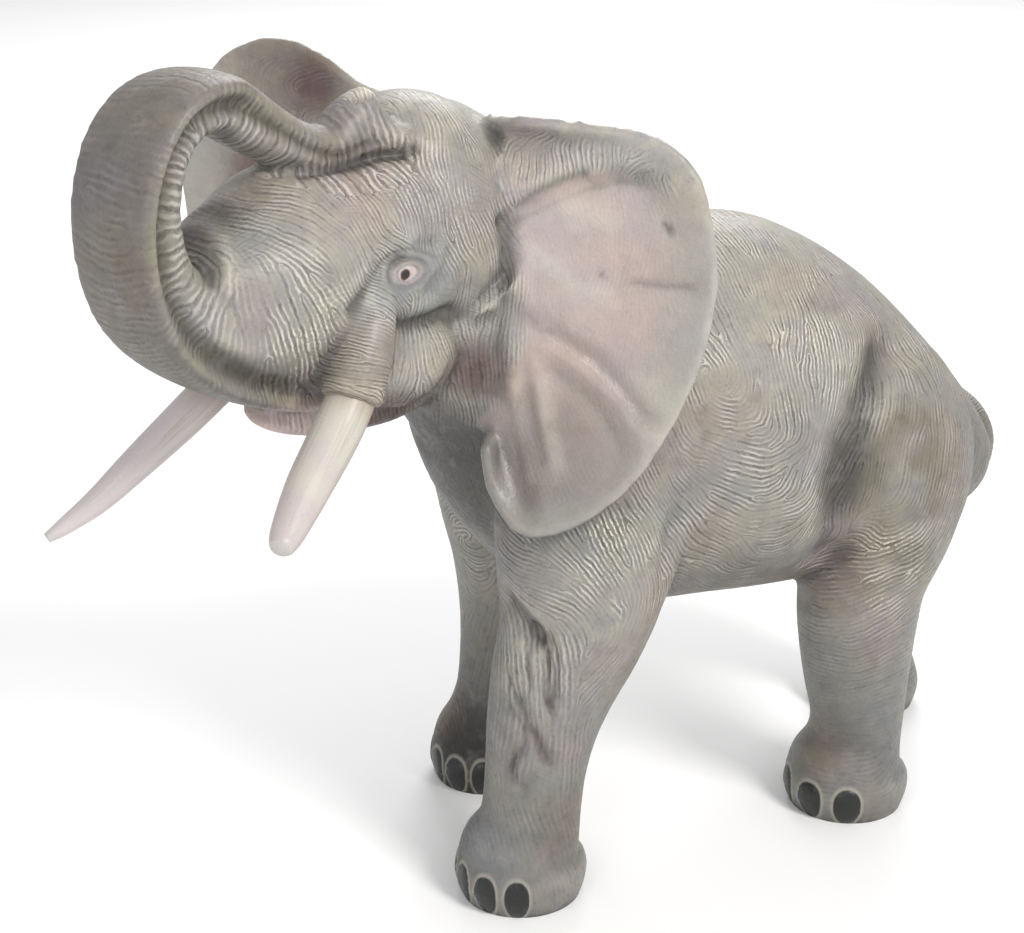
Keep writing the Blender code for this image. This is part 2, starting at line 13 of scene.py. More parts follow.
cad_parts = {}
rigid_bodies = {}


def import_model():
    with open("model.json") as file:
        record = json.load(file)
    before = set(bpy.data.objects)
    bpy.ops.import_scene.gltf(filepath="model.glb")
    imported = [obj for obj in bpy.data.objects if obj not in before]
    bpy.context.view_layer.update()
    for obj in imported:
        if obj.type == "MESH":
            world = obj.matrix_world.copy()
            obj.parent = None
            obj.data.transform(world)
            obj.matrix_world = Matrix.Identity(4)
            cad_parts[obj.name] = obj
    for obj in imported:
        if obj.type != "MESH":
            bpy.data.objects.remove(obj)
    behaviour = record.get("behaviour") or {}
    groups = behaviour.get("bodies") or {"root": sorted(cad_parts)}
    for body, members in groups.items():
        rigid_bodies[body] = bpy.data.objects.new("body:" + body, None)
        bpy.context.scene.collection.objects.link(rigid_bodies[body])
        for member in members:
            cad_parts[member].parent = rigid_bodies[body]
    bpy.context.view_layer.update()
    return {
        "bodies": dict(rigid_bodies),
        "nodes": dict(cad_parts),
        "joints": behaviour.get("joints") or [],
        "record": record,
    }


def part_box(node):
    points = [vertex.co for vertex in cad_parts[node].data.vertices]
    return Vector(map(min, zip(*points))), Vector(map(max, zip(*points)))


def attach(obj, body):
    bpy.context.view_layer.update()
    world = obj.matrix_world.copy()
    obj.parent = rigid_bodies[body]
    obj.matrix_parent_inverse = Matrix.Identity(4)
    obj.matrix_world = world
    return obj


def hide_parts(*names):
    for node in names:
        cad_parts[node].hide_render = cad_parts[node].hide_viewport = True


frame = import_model()

HEIGHT = 0.91            # soles to the top of the trunk's loop
VOXEL = 0.0046           # grid on which the volumes are fused, before one subdivision
BODY_TRIANGLES = 166000  # triangles of the finished skin
LINE_DEPTH = 0.075       # grid units (cm) that a skin line is pressed in
CROSS_DEPTH = 0.05       # and a line of the family that crosses it
GROOVE_DEPTH = 0.5       # and the groove between the trunk's lip and its rings
LINE_ROUNDS = 70         # rounds in which the lines settle on the coarse mesh
FINE_ROUNDS = 10         # and on the fine one

# The figure is drawn on a grid: 91 units from the soles to its top, so a unit is 1 cm at this size.
UNIT = HEIGHT / 91.0
HEAD_PIVOT = np.array([0.0, -25.0, 70.0])
HEAD_YAW = math.radians(24.0)       # the head is turned to its left
HANDS = (1, -1)  # the left side and the right
HEAD_ROLL = math.radians(2.0)       # and leans to that side


# Curves and frames

def through(rows, steps):
    """A dense list of rows on a smooth curve through the given rows."""
    rows = np.asarray(rows, float)
    ends = np.vstack([2 * rows[0] - rows[1], rows, 2 * rows[-1] - rows[-2]])
    dense = []
    for k in range(1, len(ends) - 2):
        a, b, c, d = ends[k - 1:k + 3]
        for t in np.linspace(0, 1, steps, endpoint=False):
            dense.append(0.5 * (2 * b + (c - a) * t + (2 * a - 5 * b + 4 * c - d) * t ** 2
                                + (3 * b - a - 3 * c + d) * t ** 3))
    dense.append(rows[-1])
    return np.array(dense)


def unit_vector(v):
    return v / np.maximum(np.linalg.norm(v, axis=-1, keepdims=True), 1e-9)


def to_body(points):
    """Head axes (left, forward, up from the ground) to the body's X, Y, Z."""
    points = np.atleast_2d(np.asarray(points, float))
    cy, sy, cr, sr = math.cos(HEAD_YAW), math.sin(HEAD_YAW), math.cos(HEAD_ROLL), math.sin(HEAD_ROLL)
    left = np.array([cy * cr, sy * cr, -sr])
    forward = np.array([sy, -cy, 0.0])
    up = np.array([cy * sr, sy * sr, cr])
    return HEAD_PIVOT + points[:, :1] * left + points[:, 1:2] * forward + (points[:, 2:3] - 70) * up


# Closed shapes, as vertices and faces in grid units

def skin(rings):
    """Closed surface through equal rings of points, with flat ends."""
    count, size = rings.shape[:2]
    faces = []
    for i in range(count - 1):
        for j in range(size):
            k = (j + 1) % size
            faces.append((i * size + j, i * size + k, (i + 1) * size + k, (i + 1) * size + j))
    faces.append(tuple(range(size - 1, -1, -1)))
    faces.append(tuple((count - 1) * size + j for j in range(size)))
    return rings.reshape(-1, 3), faces


def limb(rows, side, steps=6, segments=28):
    """Round or oval limb. A row is x, y, z, radius to the side, radius across it."""
    dense = through(rows, steps)
    centre = dense[:, :3]
    tangent = unit_vector(np.gradient(centre, axis=0))
    side = np.asarray(side, float)
    across = unit_vector(np.cross(tangent, side))
    sideways = unit_vector(np.cross(across, tangent))
    angle = np.linspace(0, 2 * math.pi, segments, endpoint=False)
    c, s = np.cos(angle), np.sin(angle)
    rings = (centre[:, None]
             + sideways[:, None] * (dense[:, 3:4] * c)[:, :, None]
             + across[:, None] * (dense[:, 4:5] * s)[:, :, None])
    return skin(rings)


def barrel(rows, steps=6, segments=48):
    """The torso. A row is y, top z, bottom z, half width, height of the widest line as a share."""
    dense = through(rows, steps)
    angle = np.linspace(0, 2 * math.pi, segments, endpoint=False)
    c, s = np.cos(angle), np.sin(angle)
    rings = []
    for y, top, bottom, half, share in dense:
        middle = bottom + (top - bottom) * share
        reach = np.where(s > 0, top - middle, middle - bottom)
        bulge = np.where(s > 0, 1.9, 2.25)
        x = half * np.sign(c) * np.abs(c) ** (2 / bulge)
        z = middle + reach * np.sign(s) * np.abs(s) ** (2 / bulge)
        rings.append(np.column_stack([x, np.full(segments, y), z]))
    return skin(np.array(rings))


def ball(centre, radii, segments=24):
    """Ellipsoid in grid units."""
    polar = np.linspace(0.12, math.pi - 0.12, segments // 2)
    angle = np.linspace(0, 2 * math.pi, segments, endpoint=False)
    rings = np.stack([np.stack([np.outer(np.sin(polar), np.cos(angle)),
                                np.outer(np.sin(polar), np.sin(angle)),
                                np.outer(-np.cos(polar), np.ones(segments))], axis=-1)])[0]
    return skin(rings * np.asarray(radii, float) + np.asarray(centre, float))


def in_head(shape):
    points, faces = shape
    return to_body(points), faces


def slab(middle, half):
    """Closed sheet from a grid of points and of half thicknesses, front and back."""
    rows, columns = middle.shape[:2]
    du = np.gradient(middle, axis=0)
    dv = np.gradient(middle, axis=1)
    normal = unit_vector(np.cross(du, dv))
    front = middle + normal * half[:, :, None]
    back = middle - normal * half[:, :, None]
    count = rows * columns
    points = np.vstack([front.reshape(-1, 3), back.reshape(-1, 3)])
    faces = []
    at = lambda i, j: i * columns + j
    for i in range(rows - 1):
        for j in range(columns - 1):
            quad = (at(i, j), at(i + 1, j), at(i + 1, j + 1), at(i, j + 1))
            faces.append(quad)
            faces.append(tuple(count + k for k in reversed(quad)))
    rim = ([at(i, 0) for i in range(rows)] + [at(rows - 1, j) for j in range(1, columns)]
           + [at(i, columns - 1) for i in range(rows - 2, -1, -1)]
           + [at(0, j) for j in range(columns - 2, 0, -1)])
    for a, b in zip(rim, rim[1:] + rim[:1]):
        faces.append((a, count + a, count + b, b))
    return points, faces


# The elephant's volumes

TORSO = [  # y, top, bottom, half width, widest share
    (-29, 60, 47, 6, 0.5), (-25.5, 64.5, 40, 11, 0.5), (-19, 67.5, 32.5, 15, 0.48),
    (-10, 69.3, 29, 18.2, 0.46),
    (0, 70, 28.3, 19.6, 0.44), (8, 69.8, 27.8, 19.8, 0.44), (15, 67.2, 27.8, 19.3, 0.45),
    (22, 62.8, 28.8, 18, 0.47),
    (28, 57.3, 30.6, 16, 0.5), (34, 51, 31.8, 12.6, 0.52), (38.4, 45.6, 33.2, 9, 0.55),
    (41.4, 41.8, 35.8, 4.5, 0.55)]

LEGS = {  # x, y, z, radius to the side, radius fore and aft
    "front_left": [(8, -11, 61, 5, 8), (10.2, -13.6, 53, 7.5, 10.6), (11.8, -15.4, 44, 8.2, 11),
                   (12.3, -16.8, 36, 8.2, 9.5), (12.3, -18, 30.5, 7.4, 8.1),
                   (12, -19.9, 25, 6.6, 7.0), (11.8, -21.2, 20, 5.9, 6.1), (11.6, -21.9, 15, 5.5, 5.5),
                   (11.4, -22.3, 10, 5.3, 5.4),
                   (11.3, -22.7, 7.4, 5.6, 5.8)],
    "front_right": [(-8, -9, 61, 5, 8), (-10.2, -11.4, 53, 7.5, 10.6), (-12, -12.3, 44, 8, 10.8),
                    (-12.8, -12, 36, 8, 9.6), (-13.2, -11.8, 29, 7.3, 8),
                    (-13.4, -12.2, 22, 6.3, 6.7), (-13.5, -13, 16, 5.6, 5.9), (-13.6, -13.9, 11, 5.3, 5.5),
                    (-13.9, -14.8, 7.6, 5.5, 5.7)],
    "hind_left": [(6, 13, 55, 5, 6), (9, 18.6, 49.5, 8, 10.2), (10.8, 21.6, 43, 8.6, 10.8),
                  (11.6, 20.8, 36, 8.2, 9.2), (12, 19, 29.5, 7.4, 7.3),
                  (12, 18.7, 24.5, 6.6, 7.0), (11.7, 19.2, 18, 5.8, 6.3), (11.1, 20.1, 12.5, 5.4, 5.5),
                  (10.4, 20.5, 9.2, 5.3, 5.5), (10.2, 20.3, 7.2, 5.6, 5.9)],
    "hind_right": [(-6, 13, 55, 5, 6), (-9, 19.2, 49.5, 8, 10.2), (-10.8, 24.3, 43, 8.6, 11.2),
                   (-11.6, 27, 36, 8.2, 9.8), (-11.9, 29.8, 29, 7.3, 8.2),
                   (-11.7, 32.4, 22, 6.3, 6.9), (-11.4, 34.8, 16, 5.7, 6), (-11.1, 36.5, 11, 5.4, 5.5),
                   (-11, 37.1, 7.6, 5.6, 5.8)],
}
FEET = {"front_left": (11.1, -23.4, 7.0), "front_right": (-14.4, -15.4, 6.7),
        "hind_left": (10.0, 19.9, 7.1), "hind_right": (-11, 37.2, 6.9)}

# Trunk: the outer face's middle line (forward, up), depth inwards, half width of the flat
# outer band, half width of the round inner side, and towards the tip its lean to the left and
# how round the section has become
TRUNK = [(20, 59.4, 17, 5.4, 9.0), (25, 59.4, 16.5, 5.4, 8.8), (30, 60.6, 15.5, 5.3, 8.2),
         (35.6, 63.0, 13, 5.2, 7.2),
         (40.2, 66.3, 10.4, 5.2, 6.0), (43.2, 70, 8.4, 5.2, 5.0), (44.8, 74.2, 7.2, 5.2, 4.4),
         (45.3, 78.6, 6.6, 5.2, 4.1),
         (44.9, 82.6, 6.3, 5.2, 4.0), (43.3, 86.6, 6.0, 5.2, 3.9), (40.6, 89.6, 5.6, 5.0, 3.8),
         (37, 91.1, 5.2, 4.7, 3.7),
         (33, 91.1, 5.2, 4.1, 3.6, 0, 0.1), (29.3, 89.4, 5.4, 3.6, 3.5, 0, 0.5),
         (26, 87.5, 5.3, 3.3, 3.4, 0.1, 0.9),
         (23, 85.8, 4.9, 3, 3.3, 0.2, 1), (20.5, 85.0, 4.7, 3, 3.2, 0.5, 1),
         (18.2, 85.6, 5.1, 3, 3.1, 0.9, 1),
         (16.2, 86.0, 4.8, 3, 2.8, 1.3, 1), (14.9, 85.4, 3.4, 2.4, 2.2, 1.7, 1)]
TRUNK_FINGERS = [  # lateral, forward, up, radius to the side, radius across
    [(0.8, 19.2, 83.4, 2.5, 2.3), (1.0, 17.2, 84.9, 2.6, 2.3), (1.3, 15.8, 86.6, 2.1, 1.5),
     (1.5, 15.3, 87.8, 1.0, 0.7)],
    [(1, 19, 83.2, 2.6, 2.0), (1.8, 16.2, 83.6, 2.8, 2.1), (3.1, 13.6, 83.2, 2.4, 1.7),
     (4.6, 11.4, 82.6, 1.7, 1.2),
     (5.4, 10.1, 82.2, 1.3, 1.0), (5.7, 9.5, 82.0, 0.9, 0.7)]]

TAIL = [(0, 37, 45, 2.4, 2.2), (0, 41.2, 42, 2.5, 2.2), (0, 43.3, 38.5, 2.4, 2.2),
        (-0.2, 42.8, 34.8, 2.2, 2.2),
        (-1.2, 40.8, 31.4, 2, 2.1), (-2.8, 38.4, 28.4, 1.9, 2), (-4.6, 36.2, 25.2, 1.9, 1.9),
        (-5.7, 34.8, 21.8, 2.2, 2.1),
        (-6, 34.2, 18.4, 2.2, 2), (-6, 34, 15.2, 1.1, 1.1)]


def torso():
    return [barrel(TORSO)]


def legs():
    shapes = []
    for name, rows in LEGS.items():
        x, y, r = FEET[name]
        foot = [(x, y, 5.0, r * 0.93, r * 0.96), (x, y, 3.2, r, r * 1.03), (x, y, 1.5, r * 0.98, r),
                (x, y, 0, r * 0.91, r * 0.93), (x, y, -2.5, r * 0.8, r * 0.82)]
        shapes.append(limb(rows + foot, side=(1, 0, 0), steps=5))
    return shapes


def tail():
    return [limb(TAIL, side=(1, 0, 0), segments=16), ball((-0.6, 37.6, 32.6), (4.6, 4.4, 5))]


def neck():
    return [limb([(0, -2, 48, 16.5, 17), (0, -9, 51.5, 16.2, 16.5), (0.4, -15.5, 56, 15, 15.5),
                  (1.5, -22, 63, 13.2, 14),
                  (3, -28, 70, 11.6, 12.4)], side=(1, 0, 0))]


def head():
    shapes = [ball((0, 7, 73), (11.3, 13.5, 12.8)),
              ball((0, 8.5, 80), (8.2, 8.2, 6.6)),
              limb([(0, 6, 73.5, 9, 9), (0, 12, 72.4, 10.6, 11), (0, 18, 71.2, 10.4, 11),
                    (0, 24, 71, 9.9, 11.2), (0, 29.5, 71.2, 9, 10),
                    (0, 34, 72.4, 7.2, 7.4), (0, 37, 73.8, 5.2, 4.6)], side=(1, 0, 0), segments=32)]
    for hand in HANDS:
        shapes.append(ball((hand * 5.5, 15.2, 63), (5.2, 6.4, 5.4)))
        shapes.append(ball((hand * 4.6, 9, 63.6), (4.4, 7.4, 6.6)))
        shapes.append(ball((hand * 5.4, 16.5, 72.2), (5.2, 7.0, 7.6)))
        shapes.append(limb([(hand * 7.6, 19.8, 73, 1.8, 1.8), (hand * 8.8, 22.4, 68.8, 2.5, 2.5),
                            (hand * 9.6, 24.6, 65, 2.9, 2.9),
                            (hand * 10.1, 26.4, 61.8, 3.0, 3.0)], side=(1, 0, 0), segments=20))
    shapes.append(limb([(0, 6, 61, 6.4, 5), (0, 12, 58.6, 6, 4.4), (0, 17, 57.8, 5.4, 3.5),
                        (0, 22, 57.8, 4.8, 2.8),
                        (0, 26, 58.2, 3.8, 2.0), (0, 28.6, 58.9, 2.0, 1.2)], side=(1, 0, 0), segments=20))
    return [in_head(s) for s in shapes]


def trunk_rings(stations, steps):
    """Section of the trunk: a flat outer band with a lip on each edge, a crease, a round inside."""
    dense = through([tuple(s) + (0,) * (7 - len(s)) for s in stations], steps)
    path = dense[:, :2]
    along = unit_vector(np.gradient(path, axis=0))
    inward = np.column_stack([-along[:, 1], along[:, 0]])
    rings = []
    for (f, u, depth, band, tube, lean, rounded), (nf, nu) in zip(dense, inward):
        crease = min(band - 0.5, tube + 0.2)
        half = through([(0, -0.5), (band * 0.6, -0.35), (band * 0.95, 0), (band + 0.15, 0.5),
                        (band - 0.05, 1.05),
                        (crease, 1.6), (tube * 0.98, depth * 0.36), (tube, depth * 0.55),
                        (tube * 0.84, depth * 0.8),
                        (tube * 0.46, depth * 0.96), (0, depth)], 3)
        turn = np.linspace(0, math.pi, len(half))
        oval = np.column_stack([tube * np.sin(turn), depth / 2 * (1 - np.cos(turn))])
        half = half * (1 - rounded) + oval * rounded
        section = np.vstack([half, np.column_stack([-half[-2:0:-1, 0], half[-2:0:-1, 1]])])
        rings.append(np.column_stack([section[:, 0] + lean, f + nf * section[:, 1],
                                      u + nu * section[:, 1]]))
    return np.array(rings)


def trunk():
    fingers = [in_head(limb(rows, side=(1, 0, 0), segments=20)) for rows in TRUNK_FINGERS]
    return [in_head(skin(trunk_rings(TRUNK, 5))),
            in_head(ball((2.0, 15.3, 84.4), (2.3, 1.7, 2.1)))] + fingers


NEAR_RIM = [  # lateral, forward, up: the left ear's free edge, from the crown round to the jaw
    (5.5, 3, 84), (11.7, 4.2, 84.9), (18.3, 1.3, 84.8), (22.4, -1.1, 84.3), (25.3, -2.7, 82.6),
    (27.1, -3.6, 80),
    (28.1, -4.3, 75.7), (28.6, -4.6, 70), (28.1, -4.3, 64.3), (26.9, -3.6, 59.2), (25.8, -0.9, 54.1),
    (23.8, 2.4, 49.4),
    (20.6, 6.5, 46), (16.8, 8.9, 45), (13.4, 9.8, 48.2), (11.5, 9.3, 53.2)]
NEAR_ROOT = [
    (4, 4, 81), (6, 4.8, 80), (8, 5.6, 78.6), (9.4, 6, 77), (10, 6.1, 75), (10.2, 6.1, 72.5),
    (10.3, 6.1, 70), (10.3, 6, 68),
    (10.3, 6, 66), (10.3, 6, 64), (10.3, 6, 62), (10.2, 6, 60), (10, 6.1, 58.5), (9.6, 6.3, 57),
    (9.2, 6.5, 56), (8.6, 6.6, 55)]
FAR_RIM = [
    (-6, 3, 84), (-10.5, 4.6, 85.4), (-15, 5.8, 88), (-19.7, 6.8, 88.9), (-24.4, 7.8, 87.4),
    (-27.6, 8.4, 84.6),
    (-30, 8.9, 79.5), (-31.4, 9.2, 74), (-31.2, 9.1, 68), (-29.6, 8.8, 62), (-26.5, 8, 56.5),
    (-22.5, 7, 52),
    (-18, 6.2, 49), (-14, 6, 48), (-11, 6.4, 50), (-9.4, 6.8, 54)]
EAR_HALF = 0.62


EAR_FOLDS = [  # lateral and up along a fold, its width, its height towards the front (or depth)
    ([(10.6, 74.6), (12, 75.6), (14, 77), (16.5, 78.5), (19.5, 79.6), (22, 79.8)], 0.9, -0.7),
    ([(13, 78.6), (16, 80.8), (20, 82), (24, 81.2), (26, 77.5)], 1.6, 0.55),
    ([(11.5, 66), (14, 63.5), (17.3, 61.2), (21.2, 58.2), (24.5, 54.8)], 1.1, 0.75),
    ([(12.5, 62.8), (16, 59.6), (19.5, 56.4), (22.5, 52)], 1.2, -0.55),
    ([(12.6, 65), (13.6, 60), (14.6, 55.5), (16.6, 50), (18, 47.5)], 0.9, 0.6),
    ([(11, 61), (12, 56), (13.4, 51.5), (15, 48)], 0.9, -0.45),
    ([(15.4, 69.7), (18.6, 67.9), (22.9, 69.3), (26.5, 70)], 1.0, -0.4),
    ([(13, 70.5), (16, 70.8), (19, 72.6), (22, 75.4)], 1.8, 0.5),
]


def along_path(points, path):
    """Distance of each point from a polyline."""
    best = np.full(len(points), 1e9)
    for a, b in zip(path[:-1], path[1:]):
        run = b - a
        t = np.clip(((points - a) @ run) / (run @ run), 0, 1)
        best = np.minimum(best, np.linalg.norm(points - a - t[:, None] * run, axis=1))
    return best


def ears():
    shapes = []
    for rim_rows, hand in ((NEAR_RIM, 1), (FAR_RIM, -1)):
        rim = through(rim_rows, 5)
        root = through(NEAR_ROOT, 5) * np.array([hand, 1, 1])
        out = np.linspace(0, 1, 15)
        middle = root[:, None] * (1 - out)[None, :, None] + rim[:, None] * out[None, :, None]
        middle[:, :, 1] -= 1.3 * np.sin(math.pi * out)[None, :]
        flat = np.abs(middle[:, :, [0, 2]]).reshape(-1, 2)
        for path, width, height in EAR_FOLDS:
            near = along_path(flat, np.array(path))
            middle[:, :, 1] += (height * np.exp(-(near / width) ** 2)).reshape(middle.shape[:2])
        half = np.full(middle.shape[:2], EAR_HALF)
        shapes.append(in_head(slab(middle, half)))
    return shapes


# From volumes to one casting

def fused(name, shapes, voxel):
    """One object whose overlapping closed shapes a voxel Remesh has fused."""
    points, faces, offset = [], [], 0
    for p, f in shapes:
        points.append(p * UNIT)
        faces += [tuple(i + offset for i in face) for face in f]
        offset += len(p)
    mesh = bpy.data.meshes.new(name + "_volumes")
    mesh.from_pydata(np.vstack(points).tolist(), [], faces)
    work = bmesh.new()
    work.from_mesh(mesh)
    bmesh.ops.recalc_face_normals(work, faces=work.faces)
    work.to_mesh(mesh)
    work.free()
    thing = bpy.data.objects.new(name + "_volumes", mesh)
    bpy.context.scene.collection.objects.link(thing)
    remesh = thing.modifiers.new("Fuse", "REMESH")
    remesh.mode = "VOXEL"
    remesh.voxel_size = voxel
    graph = bpy.context.evaluated_depsgraph_get()
    result = bpy.data.meshes.new_from_object(thing.evaluated_get(graph))
    result.name = name
    bpy.data.objects.remove(thing)
    return result


def read(mesh):
    points = np.empty(len(mesh.vertices) * 3)
    mesh.vertices.foreach_get("co", points)
    return points.reshape(-1, 3)


def relax(mesh, rounds, weight=None):
    """Evens the surface out: each point moves towards the mean of its neighbours, and half back."""
    points = read(mesh)
    edges = np.empty(len(mesh.edges) * 2, np.int64)
    mesh.edges.foreach_get("vertices", edges)
    a, b = edges.reshape(-1, 2).T
    count = len(points)
    degree = np.bincount(a, minlength=count) + np.bincount(b, minlength=count)
    weight = np.ones(count) if weight is None else weight
    for turn in range(rounds):
        for share in (0.5, -0.51):
            mean = np.stack([np.bincount(a, points[b, k], count) + np.bincount(b, points[a, k], count)
                             for k in range(3)], axis=1) / degree[:, None]
            points += (mean - points) * (share * weight)[:, None]
    mesh.vertices.foreach_set("co", points.ravel())
    mesh.update()


# Folds that the casting carries. A row is the frame, whether the other side has it too,
# half width, depth, and the points of its line.
FOLDS = [
    ("head", True, 0.9, 0.75, [(9.5, 20.5, 67.6), (9.1, 18.5, 67.3), (9.1, 15.5, 67.2), (9.4, 13.3, 67.3),
                               (9.6, 12.3, 67),
                               (10.4, 11.2, 66.3), (10.8, 9.6, 65.8), (11.4, 8.6, 66.3)]),
    ("head", True, 0.7, 0.5, [(9.6, 25.7, 70.3), (9.8, 23.8, 72.1), (9.7, 22.1, 73.7), (9.5, 19.8, 74),
                              (9.8, 17.2, 74.5), (9.9, 15.4, 74.8)]),
    ("head", True, 0.6, 0.35, [(10.4, 13.4, 73.6), (10.4, 13.7, 72.3), (10.5, 15.4, 71.1),
                               (10.4, 16.3, 70.1)]),
    ("head", True, 1.2, 0.5, [(10.6, 9.4, 64), (10.2, 9, 61.2), (9.6, 8.4, 58)]),
    ("head", True, 1.5, 0.5, [(10.1, 19.3, 72.6), (10.1, 18.2, 72.3)]),
    ("head", True, 0.75, -0.6, [(10.1, 19.3, 72.6), (10.1, 19.0, 72.6)]),
    ("head", True, 0.9, 0.7, [(8.6, 21, 70), (8.9, 22.6, 67), (8.8, 23.6, 63.6), (8.6, 24.6, 61)]),
    ("body", True, 2.5, 1.5, [(14.8, 19.3, 57.2), (16.8, 16, 55.4), (18.6, 12.7, 52.5), (19.5, 10.5, 49.2),
                              (19.7, 9.9, 44.9),
                              (19, 10.2, 40.1), (16.5, 10.9, 35)]),
    ("body", False, 1.5, 1.1, [(12.8, -26.2, 34.9), (14.6, -25.7, 33.7), (16.2, -24.8, 32.3)]),
    ("body", True, 1.2, 0.4, [(10.1, 12, 27), (16.1, 13.2, 27.9), (18.7, 16.5, 30.7), (19.7, 19.5, 34.1)]),
    ("body", True, 1.6, 0.8, [(19.4, -6, 52), (19.8, -9, 45), (18.5, -11, 39), (16.5, -11.5, 34)]),
    ("body", True, 0.8, 0.45, [(16.2, -24.6, 33), (17.2, -23.8, 30), (17.8, -23.1, 25.6)]),
    ("body", True, 0.8, 0.45, [(15.4, -25.7, 25.1), (16.6, -24.6, 20.8), (17.2, -23.1, 18.4)]),
]
TUSKS = {  # head axes (lateral, forward, up, radius), from the root's end to the tip
    "left_tusk": [(9.0, 22.6, 65.6, 2.05), (9.5, 24.6, 63.5, 2.2), (10.0, 26.6, 61.6, 2.3),
                  (10.8, 29.3, 59.4, 2.3), (12.3, 34.0, 56.4, 2.1),
                  (14.0, 38.2, 53.9, 1.6), (14.8, 39.8, 53.2, 1.2), (15.0, 40.2, 53.0, 0.9)],
    "right_tusk": [(-8.6, 21.4, 61.8, 1.9), (-9.0, 23.5, 59.8, 2.0), (-9.6, 26.2, 57.7, 2.0),
                   (-10.7, 29.4, 55.0, 1.9), (-12.2, 33.3, 51.7, 1.65),
                   (-13.6, 37.0, 48.6, 1.3), (-14.8, 40.3, 46.5, 0.85), (-15.4, 42.0, 45.6, 0.5)],
}


def carve(mesh):
    """Presses the folds into the casting along the surface's own normals."""
    points = read(mesh) / UNIT
    normal = np.empty(len(points) * 3)
    mesh.vertices.foreach_get("normal", normal)
    normal = normal.reshape(-1, 3)
    depth = np.zeros(len(points))
    for frame, both, width, deep, path in FOLDS:
        for hand in ((1, -1) if both else (1,)):
            line = np.array(path, float) * np.array([hand, 1, 1])
            line = to_body(line) if frame == "head" else line
            near = along_path(points, line)
            depth += deep * np.exp(-(near / width) ** 2)
    points -= normal * depth[:, None]
    mesh.vertices.foreach_set("co", (points * UNIT).ravel())
    mesh.update()


def cut_soles(mesh):
    """Flat soles on the ground plane."""
    work = bmesh.new()
    work.from_mesh(mesh)
    everything = work.verts[:] + work.edges[:] + work.faces[:]
    bmesh.ops.bisect_plane(work, geom=everything, dist=1e-6, plane_co=(0, 0, 0), plane_no=(0, 0, -1),
                           clear_outer=True)
    rim = [e for e in work.edges if e.is_boundary]
    bmesh.ops.holes_fill(work, edges=rim, sides=0)
    for vert in work.verts:
        if abs(vert.co.z) < 1e-5:
            vert.co.z = 0.0
    bmesh.ops.triangulate(work, faces=work.faces[:])
    bmesh.ops.recalc_face_normals(work, faces=work.faces[:])
    work.to_mesh(mesh)
    work.free()


def through_modifier(mesh, kind, **settings):
    """The mesh after one modifier, leaving no helper behind."""
    thing = bpy.data.objects.new("helper", mesh)
    bpy.context.scene.collection.objects.link(thing)
    modifier = thing.modifiers.new("Step", kind)
    for key, value in settings.items():
        setattr(modifier, key, value)
    graph = bpy.context.evaluated_depsgraph_get()
    result = bpy.data.meshes.new_from_object(thing.evaluated_get(graph))
    bpy.data.objects.remove(thing)
    return result


# Skin lines. The guides say which way the lines of a place run: where it is, the heading across
# the lines, their pitch and their strength, in head axes or in the body's.

HEAD_LINES = [
    (7.6, 32.3, 72.3, -0.28, 0.91, -0.3, 1.15, 1), (7.6, 31.1, 67.8, -0.38, 0.91, -0.15, 1.15, 1),
    (6, 35.9, 72, -0.4, 0.87, -0.28, 1.15, 1), (5.7, 34.6, 67, -0.35, 0.92, -0.18, 1.15, 1),
    (8.9, 28.2, 69.8, -0.27, 0.88, -0.4, 1.1, 1), (9, 27.7, 66.2, -0.82, 0.56, 0.1, 1.1, 1),
    (4.8, 30.3, 78.1, 0.32, 0.69, -0.65, 1.1, 0.8), (7.6, 27.9, 76.6, 0.15, 0.73, -0.67, 1.1, 0.8),
    (7.7, 25.9, 77.3, 0.16, 0.77, -0.6, 1, 0.7), (9, 24.6, 74.8, -0.08, 0.98, -0.15, 1, 0.7),
    (6.6, 21.6, 79.2, 0.22, 0.95, -0.23, 1, 0.6), (8.5, 21, 76.9, -0.04, 1, -0.04, 1, 0.6),
    (7.5, 14.9, 79.7, 0.01, 0.98, -0.2, 0.9, 0.6), (8.9, 14.9, 78, -0.19, 0.97, 0.13, 0.9, 0.6),
    (5.3, 10.6, 84.6, -0.29, 0.94, 0.15, 0.9, 0.6), (6.8, 11.2, 83, -0.27, 0.96, -0.02, 0.9, 0.6),
    (7.3, 6.3, 82.6, 0.17, 0.99, 0.03, 0.9, 0.6), (8.6, 6.5, 80.9, -0.15, 0.93, 0.33, 0.9, 0.6),
    (10.5, 11.4, 73.2, -0.07, 0.89, -0.45, 0.85, 0.7), (10.1, 10.6, 69.2, -0.09, 0.99, 0.13, 0.85, 0.7),
    (11, 8.5, 72.4, -0.13, 0.96, -0.26, 0.85, 0.7), (10.8, 8.1, 69.3, -0.79, 0.61, 0.07, 0.85, 0.7),
    (8.7, 17.6, 62.9, -0.6, 0.79, -0.13, 1, 0.8), (10.4, 14.3, 63.4, -0.21, 0.92, -0.33, 1, 0.8)]

